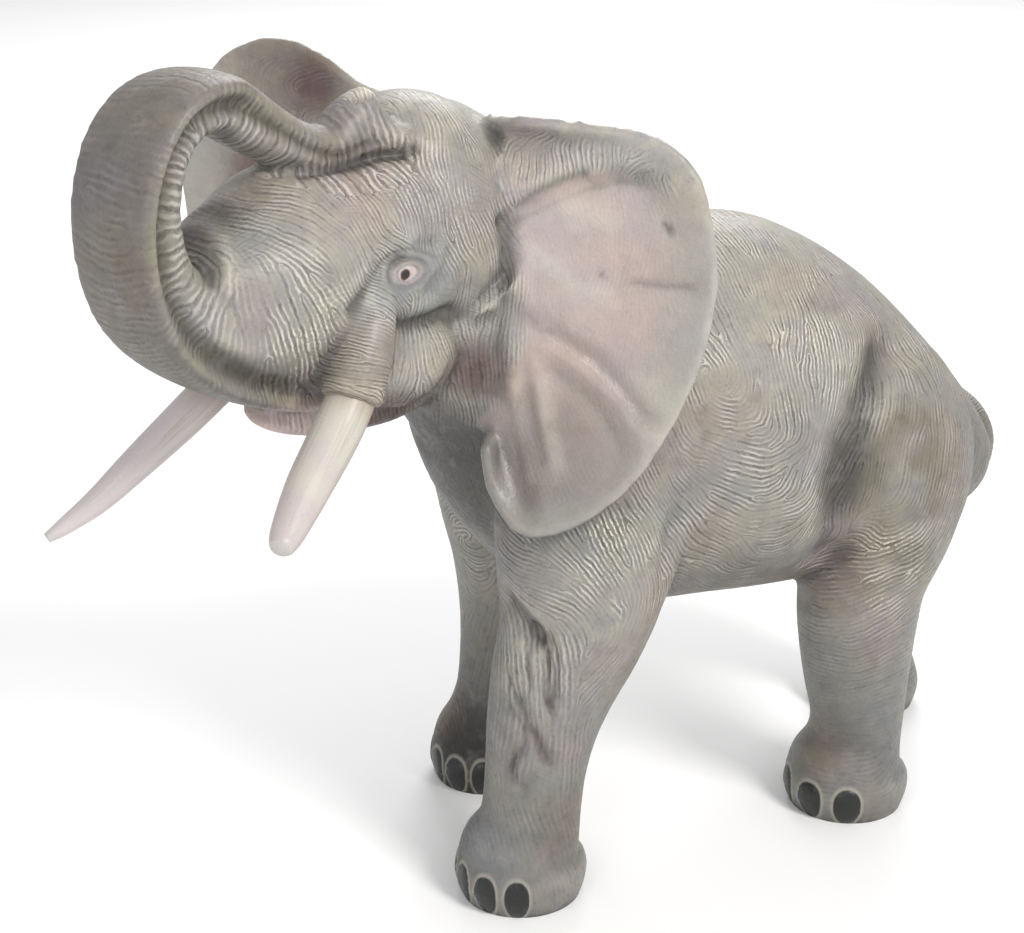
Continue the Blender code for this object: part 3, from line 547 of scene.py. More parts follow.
BODY_LINES = [
    (18.2, -24.9, 43.3, -0.36, -0.65, -0.67, 1, 0.9), (20.2, -17.3, 39.8, -0.05, -0.9, -0.43, 1, 1),
    (20.4, -20.1, 44.9, -0.19, -0.84, -0.5, 1, 1), (18.8, -11.1, 41, 0.29, -0.79, -0.53, 1, 0.9),
    (18.8, -16.1, 27.8, 0.34, -0.68, 0.65, 1.1, 0.8), (19.2, -13.3, 33, 0.53, -0.84, 0.13, 1.1, 0.8),
    (15, -25.2, 39.7, -0.27, -0.08, -0.96, 1, 0.9), (16.2, -24, 28.5, -0.63, -0.76, -0.16, 1.3, 0.9),
    (13.4, -26.4, 24.9, -0.97, -0.22, -0.09, 1.3, 0.8), (17.2, -19.7, 17.5, 0.25, -0.96, -0.13, 1.2, 0.7),
    (17, -23.5, 16.9, -0.34, -0.94, 0, 1.3, 0.7), (12.2, -28.9, 58.6, -0.1, -0.98, -0.15, 0.9, 0.7),
    (3.6, -28.9, 47.5, -0.95, -0.3, 0.1, 0.9, 0.5), (18.7, 4.4, 52.4, 0.01, 1, 0.05, 0.95, 1),
    (19.6, 4.1, 45.8, 0, 0.99, -0.16, 0.95, 1), (16.4, 8.8, 58.1, -0.03, 0.99, -0.15, 0.95, 1),
    (18.6, 7.4, 53.1, -0.02, 0.92, -0.4, 0.95, 1), (19.4, 2.4, 42.8, -0.17, 0.07, -0.98, 0.95, 1),
    (19, -3.2, 44.6, -0.19, -0.58, -0.79, 0.95, 1), (16.3, 8.1, 36.6, -0.41, 0.83, -0.36, 0.95, 1),
    (15.4, 3.2, 34, -0.68, -0.09, -0.72, 0.95, 1), (16.4, -3.5, 36.8, -0.48, -0.6, -0.65, 0.95, 1),
    (19.6, 2.4, 48.2, 0.07, 0.28, -0.96, 0.95, 1), (19.3, -1.4, 48.7, 0.06, -0.44, -0.89, 0.95, 1),
    (18.4, -9.4, 43.3, 0.01, -0.83, -0.56, 0.95, 1), (17.4, 12, 50, 0.01, 0.92, -0.4, 1, 1),
    (17.7, 10.3, 43.3, -0.2, 0.98, -0.08, 1, 1), (9.5, 7.7, 66.1, -0.15, 0.99, 0.04, 0.95, 1),
    (12.4, 1.1, 63.9, -0.05, 0.99, 0.11, 0.95, 1), (10.6, 19.9, 60, -0.55, 0.83, 0.07, 0.95, 1),
    (13.7, 22.5, 55.6, -0.27, 0.95, -0.14, 0.95, 1), (4.4, 7, 68.8, -0.02, 1, -0.08, 0.95, 0.9),
    (17.1, 23.5, 50.5, -0.29, 0.94, 0.16, 0.95, 0.9), (15.1, 21, 54, 0.03, 0.99, -0.11, 1, 0.8),
    (17.9, 19.6, 49, -0.02, 0.92, -0.38, 1, 0.8), (19, 23.5, 44.2, -0.16, 0.96, -0.22, 1, 0.7),
    (19.6, 22.1, 39.4, -0.1, 0.92, -0.38, 1, 0.7), (17.8, 11.6, 46.6, 0.34, 0.94, -0.11, 0.95, 1),
    (16.8, 11.9, 38.7, 0.5, 0.86, 0.02, 0.95, 1), (19.3, 19, 37.5, 0.11, 0.36, -0.92, 1, 0.9),
    (18, 14.7, 37.3, -0.32, -0.18, -0.93, 1, 0.9), (18.3, 16.4, 32.6, 0.07, 0.39, -0.92, 1.1, 1),
    (15.4, 13.3, 31.2, 0.22, 0.07, -0.97, 1.1, 1), (18.2, 16.2, 27.9, 0.23, 0.48, -0.85, 1.1, 1),
    (15.2, 13.1, 26.7, -0.03, -0.22, -0.98, 1.1, 1), (17.7, 16, 24.1, 0.05, 0.47, -0.88, 1.1, 0.8),
    (15.5, 13.3, 23.4, -0.19, 0.03, -0.98, 1.1, 0.8), (15.9, 18.5, 12.8, -0.22, 0.12, -0.97, 1.2, 0.4),
    (13, 15.4, 12.5, -0.03, 0.31, -0.95, 1.2, 0.4)]

MORE_LINES = [  # places that the other guides leave open: rear, belly, chest, inner sides, tail
    (9, 36, 47, -0.8, 0.4, -0.3, 1, 0.8), (6, 39, 40, -0.7, 0.1, -0.6, 1, 0.8),
    (12, 33, 40, -0.6, 0.7, -0.3, 1, 0.8),
    (9, -3, 28.5, -0.9, -0.3, -0.2, 1, 0.8), (6, 12, 28, -0.9, 0.2, -0.2, 1, 0.8),
    (2, -26, 42, -0.2, -0.1, -1, 1, 0.8),
    (5, -12, 30, -0.3, -0.9, 0.1, 1, 0.8), (5.5, 20, 22, 0.1, 0.3, -0.9, 1.1, 0.6),
    (6, -18, 20, 0.2, -0.9, 0.1, 1.2, 0.7),
    (0, 43, 38, 0, 0.2, -1, 0.9, 0.9), (-3, 38, 28, 0, 0, -1, 0.9, 0.9), (3, 43, 42, 0, 0.2, -1, 0.9, 0.9),
    (9, -14, 64, 0.1, -1, 0.2, 0.9, 0.8), (14, -14, 56, 0.1, -1, 0, 0.9, 0.8),
    (3, -10, 69, 0, -1, 0, 0.9, 0.8)]


# Single creases (pressed in) and ridges (raised, with a negative depth): axes, both sides, width,
# depth, how far the paint follows, and the path.
STROKES = [
    ("head", True, 0.5, 0.55, 0.85, [(2.9, 25.5, 81.7), (3.4, 23.8, 81.6), (3.6, 21.4, 81.6),
                                     (3.7, 18.8, 81.8), (4.3, 16.5, 82.1), (5.1, 14.6, 82.1),
                                     (5.8, 13.5, 82.4)]),
    ("head", True, 0.6, 0.4, 0.6, [(11, 6.6, 75.5), (11.6, 5.3, 76.6), (13.2, 4.3, 78), (15.2, 2.9, 79.3),
                                   (16.8, 1.9, 80)]),
    ("head", True, 0.8, 0.45, 0.6, [(11.1, 6.5, 75), (11.3, 6.1, 73.2), (11.5, 6.3, 70.3),
                                    (12.4, 7.6, 67.6), (12.1, 7.7, 64.5), (11.7, 7.2, 60.7),
                                    (11.4, 6.3, 57.3)]),
    ("head", True, 0.9, 0.45, 0.45, [(12.8, 6.8, 67.8), (13.9, 4.5, 65.5), (16.2, 2.5, 63.7),
                                     (18.8, 0.8, 61.9), (21.4, 0, 59.6), (24.4, -0.5, 57)]),
    ("head", True, 0.7, 0.2, 0.35, [(13.4, 5.2, 61.1), (14.3, 5.3, 56), (16.2, 5.8, 52.4)]),
    ("head", True, 0.4, 0.15, 0.35, [(21.3, -1.1, 69.7), (23.6, -2.3, 69.6), (26.3, -3.4, 69.8)]),
    ("head", True, 0.28, 0.15, 0.8, [(24.1, -1.9, 75.9), (24.6, -2.1, 75.4)]),
    ("head", True, 0.22, 0.15, 0.8, [(18.8, 0.7, 70.6), (19.1, 0.6, 70.4)]),
    ("head", True, 1.5, -0.25, 0.5, [(15.8, 2.3, 76.6), (17.5, 1.3, 76), (19.1, 0.6, 75.4)]),
    ("head", True, 1.1, -0.25, 0.6, [(13.5, 4.6, 71.9), (15, 3.6, 70.8), (16.3, 2.1, 69.2),
                                     (18.7, 0.3, 68.5)]),
    ("head", True, 0.8, -0.18, 0.5, [(14.7, 4.2, 59), (15.6, 4.4, 56), (16.8, 4.7, 53.3),
                                     (17.8, 5.1, 51.4)]),
    ("head", True, 0.8, -0.18, 0.5, [(12.6, 6.5, 62.3), (12.4, 5.6, 57.8), (13.6, 5.8, 53.8),
                                     (15.4, 6.7, 50.2)]),
    ("head", True, 0.8, 0.55, 0.8, [(7.4, 16.9, 59.6), (8, 15.6, 59.1), (9.2, 14, 59.4),
                                    (10.2, 12.9, 60.8), (10.8, 12.1, 62.4), (11, 10.9, 64.5)]),
    ("head", True, 0.6, 0.1, 0.7, [(9.5, 20.5, 67.6), (9.1, 18.5, 67.3), (9.1, 15.5, 67.2),
                                   (9.6, 12.3, 67), (10.8, 9.6, 65.8), (11.4, 8.6, 66.3)]),
    ("body", False, 0.36, 0.34, 0.62, [(17.3, -23.3, 32.7), (18, -22.8, 30.5), (17.7, -22.8, 27.5),
                                       (17.5, -23.3, 24.7)]),
    ("body", False, 0.36, 0.3, 0.5, [(15, -23.9, 33.1), (15.6, -25, 29.9), (16.1, -25, 27.3)]),
    ("body", False, 0.34, 0.3, 0.75, [(15.9, -23.4, 32.1), (17.1, -23.4, 30.6), (17.1, -23.4, 28.2),
                                      (17.2, -23.7, 25.9), (17.6, -23.1, 23.9)]),
    ("body", False, 0.36, 0.34, 0.62, [(13.9, -26.3, 27), (14.7, -25.9, 25.3), (15.3, -25.4, 23.7),
                                       (15.8, -25.1, 22.3)]),
    ("body", False, 0.36, 0.3, 0.6, [(13.7, -26.5, 25), (14.7, -26.2, 23.3), (15.7, -25.4, 21.9)]),
    ("body", False, 0.4, 0.4, 0.7, [(15.8, -25.3, 21.5), (15.9, -25.5, 20), (15.1, -26.1, 18.1),
                                    (14.3, -26.6, 16.5)]),
    ("body", False, 0.4, 0.4, 0.7, [(16.2, -24.5, 21.5), (16.6, -24, 19.5), (16.9, -23.3, 17.9)]),
    ("body", False, 0.4, 0.3, 0.55, [(14.9, -26.3, 18.9), (14.7, -26.4, 16.2), (15.9, -25.4, 14.9)]),
    ("body", True, 1.8, 0.2, 0.85, [(14.2, 16.8, 56.6), (16, 15.2, 53.6), (17.9, 13.3, 50.5),
                                    (18.6, 11.6, 46.5), (18, 11, 41.9)]),
]
EAR_CREASE = ((9, 11, 11.6, 13.2, 15.2, 17.7, 19.6, 21.3, 25, 30),
              (74, 75.5, 76.6, 78, 79.3, 80.3, 80.4, 79.7, 78.5, 76))


def to_head(points):
    """The body's X, Y, Z to head axes (left, forward, up from the ground)."""
    return turn_to_head(points - HEAD_PIVOT) + np.array([0, 0, 70])


def turn_to_head(vectors):
    return vectors @ (to_body(np.eye(3)) - to_body(np.zeros((1, 3)))).T


def turn_to_body(vectors):
    return vectors @ (to_body(np.eye(3)) - to_body(np.zeros((1, 3))))


def noise(points, size, seed):
    """Smooth random values from -1 to 1 in blobs of about the given size."""
    table = np.random.default_rng(seed).uniform(-1, 1, (24, 24, 24))
    cell = np.floor(points / size).astype(int)
    t = points / size - cell
    t = t * t * (3 - 2 * t)
    total = np.zeros(len(points))
    for corner in range(8):
        step = np.array([corner & 1, corner >> 1 & 1, corner >> 2 & 1])
        i, j, k = ((cell + step) % 24).T
        total += np.prod(np.where(step, t, 1 - t), axis=1) * table[i, j, k]
    return total


def ease(values, low, high):
    """0 below low, 1 above high, smooth between them."""
    t = np.clip((values - low) / (high - low), 0, 1)
    return t * t * (3 - 2 * t)


def normals(mesh):
    normal = np.empty(len(mesh.vertices) * 3)
    mesh.vertices.foreach_get("normal", normal)
    return normal.reshape(-1, 3)


def edge_ends(mesh):
    edges = np.empty(len(mesh.edges) * 2, np.int64)
    mesh.edges.foreach_get("vertices", edges)
    return edges.reshape(-1, 2).T


def trunk_place(q):
    """For points in head axes: length along the trunk, depth under its outer face, that depth's
    whole, the heading towards the tip, and how far off the trunk a point lies as a share."""
    rows = [tuple(s) + (0,) * (7 - len(s)) for s in TRUNK]
    dense = through(rows + [(12.6, 84.6, 3.0, 2.2, 2.0, 3, 1), (9.8, 82.9, 1.6, 1.4, 1.2, 5, 1)], 6)
    path = dense[:, :2]
    along = unit_vector(np.gradient(path, axis=0))
    inward = np.column_stack([-along[:, 1], along[:, 0]])
    middle = path + inward * dense[:, 2:3] / 2
    length = np.concatenate([[0], np.cumsum(np.linalg.norm(np.diff(middle, axis=0), axis=1))])
    out = np.zeros((len(q), 6))
    for start in range(0, len(q), 20000):
        part = q[start:start + 20000]
        gap = np.linalg.norm(part[:, None, 1:] - middle[None], axis=2) / (dense[:, 2] / 2)
        i = gap.argmin(axis=1)
        out[start:start + 20000] = np.column_stack([
            length[i], ((part[:, 1:] - path[i]) * inward[i]).sum(axis=1), dense[i, 2], along[i],
            gap.min(axis=1)])
    return out


def ear_place(q):
    """For points in head axes: distance from an ear's sheet, share of the way out to its rim,
    share along the rim, and which side of the sheet a point is on."""
    tree = KDTree(2 * 61 * 25)
    kept = []
    for rim_rows, hand in ((NEAR_RIM, 1), (FAR_RIM, -1)):
        rim = through(rim_rows, 4)
        root = through(NEAR_ROOT, 4) * np.array([hand, 1, 1])
        out = np.linspace(0, 1, 25)
        middle = root[:, None] * (1 - out)[None, :, None] + rim[:, None] * out[None, :, None]
        middle[:, :, 1] -= 1.3 * np.sin(math.pi * out)[None, :]
        across = unit_vector(np.cross(np.gradient(middle, axis=0), np.gradient(middle, axis=1)))
        across *= np.sign(across[:, :, 1:2])
        for i in range(len(rim)):
            for j in range(25):
                tree.insert(middle[i, j], len(kept))
                kept.append((*middle[i, j], *across[i, j], out[j], i / (len(rim) - 1)))
    tree.balance()
    kept = np.array(kept)
    found = [tree.find(p) for p in q]
    near = kept[[f[1] for f in found]]
    side = ((q - near[:, :3]) * near[:, 3:6]).sum(axis=1)
    return np.column_stack([[f[2] for f in found], near[:, 6], near[:, 7], side])


def blended(points, guides, soft):
    """Heading across the lines, pitch and strength at each point, from the guides around it."""
    out = np.zeros((len(points), 5))
    for start in range(0, len(points), 20000):
        part = points[start:start + 20000]
        gap = ((part[:, None] - guides[None, :, :3]) ** 2).sum(axis=2)
        weight = 1 / (gap + soft * soft) ** 3
        weight /= weight.sum(axis=1, keepdims=True)
        out[start:start + 20000] = weight @ guides[:, 3:]
    return out


def both_sides(rows):
    rows = np.array(rows, float)
    other = rows * np.array([-1, 1, 1, -1, 1, 1, 1, 1])
    return np.vstack([rows, other])


def first_phase(points, edges, turn):
    """Carries the phase from one point over the whole mesh."""
    ea, eb = edges
    et = turn
    phase = np.zeros(len(points))
    known = np.zeros(len(points), bool)
    known[0] = True
    while True:
        ka, kb = known[ea], known[eb]
        front = ka != kb
        if not front.any():
            return np.exp(1j * phase)
        source = np.where(ka[front], ea[front], eb[front])
        target = np.where(ka[front], eb[front], ea[front])
        phase[target] = phase[source] + np.where(ka[front], et[front], -et[front])
        left = ~(ka & kb)
        known[target] = True
        ea, eb, et = ea[left], eb[left], et[left]


def strokes(points):
    """Depth pressed in by the single strokes, and how they are painted: above 0 dark, as painted shade in a
    crease and as the chips' own dark; below 0 light, as a painted highlight on a ridge.
    """
    press, shade = np.zeros(len(points)), np.zeros(len(points))
    for axes, both, width, depth, share, path in STROKES:
        for hand in (1, -1) if both else (1,):
            line = np.array(path, float) * np.array([hand, 1, 1])
            line = to_body(line) if axes == "head" else line
            low, high = line.min(axis=0) - 2.6 * width, line.max(axis=0) + 2.6 * width
            near = np.where(((points > low) & (points < high)).all(axis=1))[0]
            if len(near) == 0:
                continue
            fall = np.exp(-(along_path(points[near], line) / width) ** 2)
            press[near] += depth * fall
            shade[near] += math.copysign(share, depth) * fall
    return press, shade


def thin_places(points):
    """Where narrow strokes run."""
    out = np.zeros(len(points), bool)
    for axes, both, width, depth, share, path in STROKES:
        for hand in (1, -1) if both and width < 0.65 else (1,) if width < 0.65 else ():
            line = np.array(path, float) * np.array([hand, 1, 1])
            line = to_body(line) if axes == "head" else line
            near = np.where(((points > line.min(axis=0) - 2)
                             & (points < line.max(axis=0) + 2)).all(axis=1))[0]
            if len(near):
                out[near] |= along_path(points[near], line) < 1.9 * width
    return out


def line_phase(points, edges, heading, rounds, psi=None):
    """Evenly spaced lines over the mesh: the phase at each point, as a complex number, for the
    wanted heading (radians per unit). Lines fork by themselves where the spacing asks for it."""
    a, b = edges
    turn = ((heading[a] + heading[b]) / 2 * (points[b] - points[a])).sum(axis=1)
    psi = first_phase(points, edges, turn) if psi is None else psi
    step = np.exp(1j * turn)
    count = len(points)
    for turn_number in range(rounds):
        there, back = psi[a] * step, psi[b] * step.conj()
        total = (np.bincount(b, there.real, count) + np.bincount(a, back.real, count)
                 + 1j * (np.bincount(b, there.imag, count) + np.bincount(a, back.imag, count)) + 0.5 * psi)
        psi = total / np.maximum(np.abs(total), 1e-9)
    return psi


def regions(points, normal):
    """Masks and headings that the carving and the paint share, at each point."""
    q = to_head(points)
    n = turn_to_head(normal)
    place = {"q": q, "n": n}
    place["head"] = ease(q[:, 1], -3.5, 2.5) * ease(q[:, 2], 50, 56)
    ahead = np.where((q[:, 1] > 8) & (q[:, 2] > 54) & (np.abs(q[:, 0]) < 11))[0]
    found = trunk_place(q[ahead])
    trunk_data = np.zeros((len(q), 6))
    trunk_data[:, 5] = 9
    trunk_data[ahead] = found
    length, depth, whole, tf, tu, off = trunk_data.T
    place["trunk"] = ease(length, 12, 24) * (off < 1.4) * ease(q[:, 1], 12.8, 14.4)
    flat = (whole > 0) * (off < 1.5) * ease(length, 2, 6) * (1 - ease(length, 58, 68))
    place["band"] = (1 - ease(depth, 1.1, 1.9)) * flat
    place["groove"] = np.exp(-((depth - 2.3) / 0.75) ** 2) * flat * ease(length, 4,
                                                                         10) * (1 - ease(whole, 14, 17.5))
    place["edge"] = np.exp(-((depth - 2.5) / 1.0) ** 2) * flat * ease(length, 4,
                                                                      10) * (1 - ease(whole, 14, 17.5))
    place["lip"] = np.exp(-((depth - 1.0) / 0.55) ** 2) * flat
    place["trunk_heading"] = np.column_stack([np.zeros(len(q)), tf, tu])
    wide = np.where((np.abs(q[:, 0]) > 8.8) & (np.abs(q[:, 1]) < 13) & (q[:, 2] > 40))[0]
    ear_data = np.zeros((len(q), 4))
    ear_data[:, 0] = 9
    ear_data[wide] = ear_place(q[wide])
    place["ear"] = (1 - ease(ear_data[:, 0], 1.1, 2.0)) * ease(ear_data[:, 1], 0.0, 0.12)
    place["ear_out"], place["ear_side"] = ear_data[:, 1], ear_data[:, 3]
    place["ear_top"] = ease(q[:, 2] - np.interp(np.abs(q[:, 0]), *EAR_CREASE), -0.3, 0.6)
    return place


def headings(points, normal, place):
    """The two line families: heading in radians per unit, and strength."""
    body_guides = both_sides(BODY_LINES + MORE_LINES)
    head_guides = both_sides(HEAD_LINES)
    on_body = blended(points, body_guides, 2.5)
    on_head = blended(place["q"], head_guides, 2.0)
    w = place["trunk"][:, None]
    on_head[:, :3] = on_head[:, :3] * (1 - w) + place["trunk_heading"] * w
    on_head[:, 3:] = on_head[:, 3:] * (1 - w) + np.array([1.6, 1.0]) * w
    for axis in SHEATHS:
        gap = along_path(place["q"], axis)
        w = (1 - ease(gap, 3.2, 4.3))[:, None]
        down = unit_vector(axis[-1] - axis[0])
        on_head[:, :3] = on_head[:, :3] * (1 - w) + down * w
        on_head[:, 3:] = on_head[:, 3:] * (1 - w) + np.array([0.72, 0.9]) * w
    on_head[:, :3] = turn_to_body(on_head[:, :3])
    w = place["head"][:, None]
    data = on_body * (1 - w) + on_head * w
    k = data[:, :3]
    k = k + 0.30 * np.column_stack([noise(points, 5.5, s) for s in (3, 4, 5)])
    k = k + 0.16 * np.column_stack([noise(points, 2.2, s) for s in (13, 14, 15)])
    k = unit_vector(k - normal * (k * normal).sum(axis=1, keepdims=True))
    cross = unit_vector(0.42 * k + 0.9 * np.cross(normal, k))
    smooth_ear = place["ear"] * (1 - place["ear_top"])
    strength = data[:, 4] * (1 - 0.9 * smooth_ear) * (1 - 0.5 * place["band"])
    strength *= ease(points[:, 2], 0.2, 2.0) * (1 - place["ear"] * ease(place["ear_out"], 0.78, 0.92))
    shin = (1 - ease(points[:, 2], 21, 34)) * (1 - place["head"])
    strength *= 1 - 0.55 * shin
    broken = ease(noise(points, 1.7, 7) + 0.7 * noise(points, 5, 8), -0.6, 0.7)
    strength *= np.maximum(0.15 + 0.85 * broken, 0.8 * place["trunk"] * (1 - place["band"]))
    crossing = 0.12 + 0.22 * place["head"] * (1 - place["trunk"])
    for axis in SHEATHS:
        crossing = crossing * ease(along_path(place["q"], axis), 3.6, 5)
    crossing = crossing * (1 - 0.95 * place["ear"]) * (1 - place["band"]) * ease(points[:, 2], 0.2, 2.0)
    crossing *= ease(noise(points, 2.4, 9) + 0.5 * noise(points, 6, 10), 0.0, 0.6)
    pitch = 0.98 * data[:, 3:4]
    return (k * (2 * math.pi / pitch), strength, cross * (2 * math.pi / (0.85 * pitch)), crossing)


def tusk_mesh(name, steps, segments):
    """One tusk as a closed round loft."""
    rows = np.array(TUSKS[name], float)
    points, faces = limb([tuple(r) + (r[3],) for r in rows], side=(1, 0, 0), steps=steps, segments=segments)
    mesh = bpy.data.meshes.new(name)
    mesh.from_pydata((to_body(points) * UNIT).tolist(), [], faces)
    work = bmesh.new()
    work.from_mesh(mesh)
    bmesh.ops.recalc_face_normals(work, faces=work.faces[:])
    work.to_mesh(mesh)
    work.free()
    return mesh


def mean_of_neighbours(values, edges, count, rounds):
    a, b = edges
    degree = np.bincount(a, minlength=count) + np.bincount(b, minlength=count)
    for turn in range(rounds):
        values = (np.bincount(a, values[b], count) + np.bincount(b, values[a], count)) / degree
    return values


SHEATHS = [np.array([[7.6, 19.8, 73], [8.8, 22.4, 68.8], [9.6, 24.6, 65], [10.1, 26.4, 61.8]])
           * np.array([h, 1, 1]) for h in (1, -1)]
EYES = [(hand * 10.15, 18.75, 72.4) for hand in (1, -1)]
NAILS = {"front_left": (-150, -120, -90, -60, -30), "front_right": (-150, -120, -90, -60, -30),
         "hind_left": (-146, -109, -71, -33), "hind_right": (-146, -109, -71, -33)}


def nail_place(points):
    """For each point: 0 at the middle of the nearest toenail, 1 at its edge, and more outside."""
    best = np.full(len(points), 9.0)
    for name, angles in NAILS.items():
        x, y, r = FEET[name]
        dx, dy, z = points[:, 0] - x, points[:, 1] - y, points[:, 2]
        near = (np.hypot(dx, dy) < 10) & (z < 9)
        heading = np.degrees(np.arctan2(dy, dx))
        wide = 1.35 if name.startswith("front") else 1.6
        for angle in angles:
            arc = np.radians((heading - angle + 180) % 360 - 180) * r / wide
            high = (z - 2.4) / np.where(z > 2.4, 2.1, 2.4)
            edge = (np.abs(arc) ** 2.4 + np.abs(high) ** 2.4) ** (1 / 2.4)
            best = np.where(near, np.minimum(best, edge), best)
    return best


def eye_place(q, normal):
    """For each point within 6 units of an eye: place along and up that eye's slit, and 99 elsewhere."""
    along, high = np.full(len(q), 99.0), np.full(len(q), 99.0)
    for hand, eye in zip((1, -1), EYES):
        gap = q - np.array(eye)
        near = np.linalg.norm(gap, axis=1) < 6
        if not near.any():
            continue
        out = unit_vector(normal[near].mean(axis=0))
        front = unit_vector(np.array([0, 0.985, -0.17]) - out * (out @ np.array([0, 0.985, -0.17])))
        up = np.cross(front, out) * hand
        up = up * np.sign(up[2])
        along[near], high[near] = gap[near] @ front, gap[near] @ up
    return along, high


def eye_relief(along, high):
    """Height of the lids, the ball and the folds round an eye."""
    r = np.hypot(along / 1.3, (high - 0.15 * along) / 0.78)
    over = ease(high, -0.4, 0.5)
    lift = 0.16 * np.exp(-((r - 1.22) / 0.2) ** 2)
    lift += np.where(r < 1, 0.10 * (1 - r * r) - 0.05, 0)
    lift -= 0.13 * np.exp(-((r - 1.75) / 0.2) ** 2) * (0.35 + 0.65 * over)
    lift += 0.09 * np.exp(-((r - 2.25) / 0.25) ** 2) * over
    lift -= 0.09 * np.exp(-((r - 2.8) / 0.22) ** 2) * (0.3 + 0.7 * over)
    lift -= 0.06 * np.exp(-((r - 3.6) / 0.25) ** 2) * (1 - over)
    return lift, r


def refine(mesh, inside, size, turns):
    """Splits the edges of the places where small forms are carved, and evens them out."""
    for turn in range(turns):
        zone = set(np.where(inside(read(mesh) / UNIT))[0].tolist())
        work = bmesh.new()
        work.from_mesh(mesh)
        work.verts.ensure_lookup_table()
        edges = set()
        for i in zone:
            for edge in work.verts[i].link_edges:
                if edge.calc_length() > size * UNIT and edge.other_vert(work.verts[i]).index in zone:
                    edges.add(edge)
        bmesh.ops.subdivide_edges(work, edges=sorted(edges, key=lambda e: e.index), cuts=1)
        bmesh.ops.triangulate(work, faces=[f for f in work.faces if len(f.verts) > 3])
        work.to_mesh(mesh)
        work.free()
    where = inside(read(mesh) / UNIT) & (read(mesh)[:, 2] > 0.002)
    relax(mesh, 3, weight=where.astype(float))


def near_eyes(points):
    q = to_head(points)
    return np.minimum(*(np.linalg.norm(q - np.array(eye), axis=1) for eye in EYES)) < 3.6


def nail_rims(points):
    nail = nail_place(points)
    return (nail > 0.7) & (nail < 1.3)


def read_layer(mesh, name, width):
    out = np.empty(len(mesh.vertices) * width, np.float32)
    mesh.attributes[name].data.foreach_get("value" if width == 1 else "vector", out)
    return out.reshape(-1, width).astype(float)


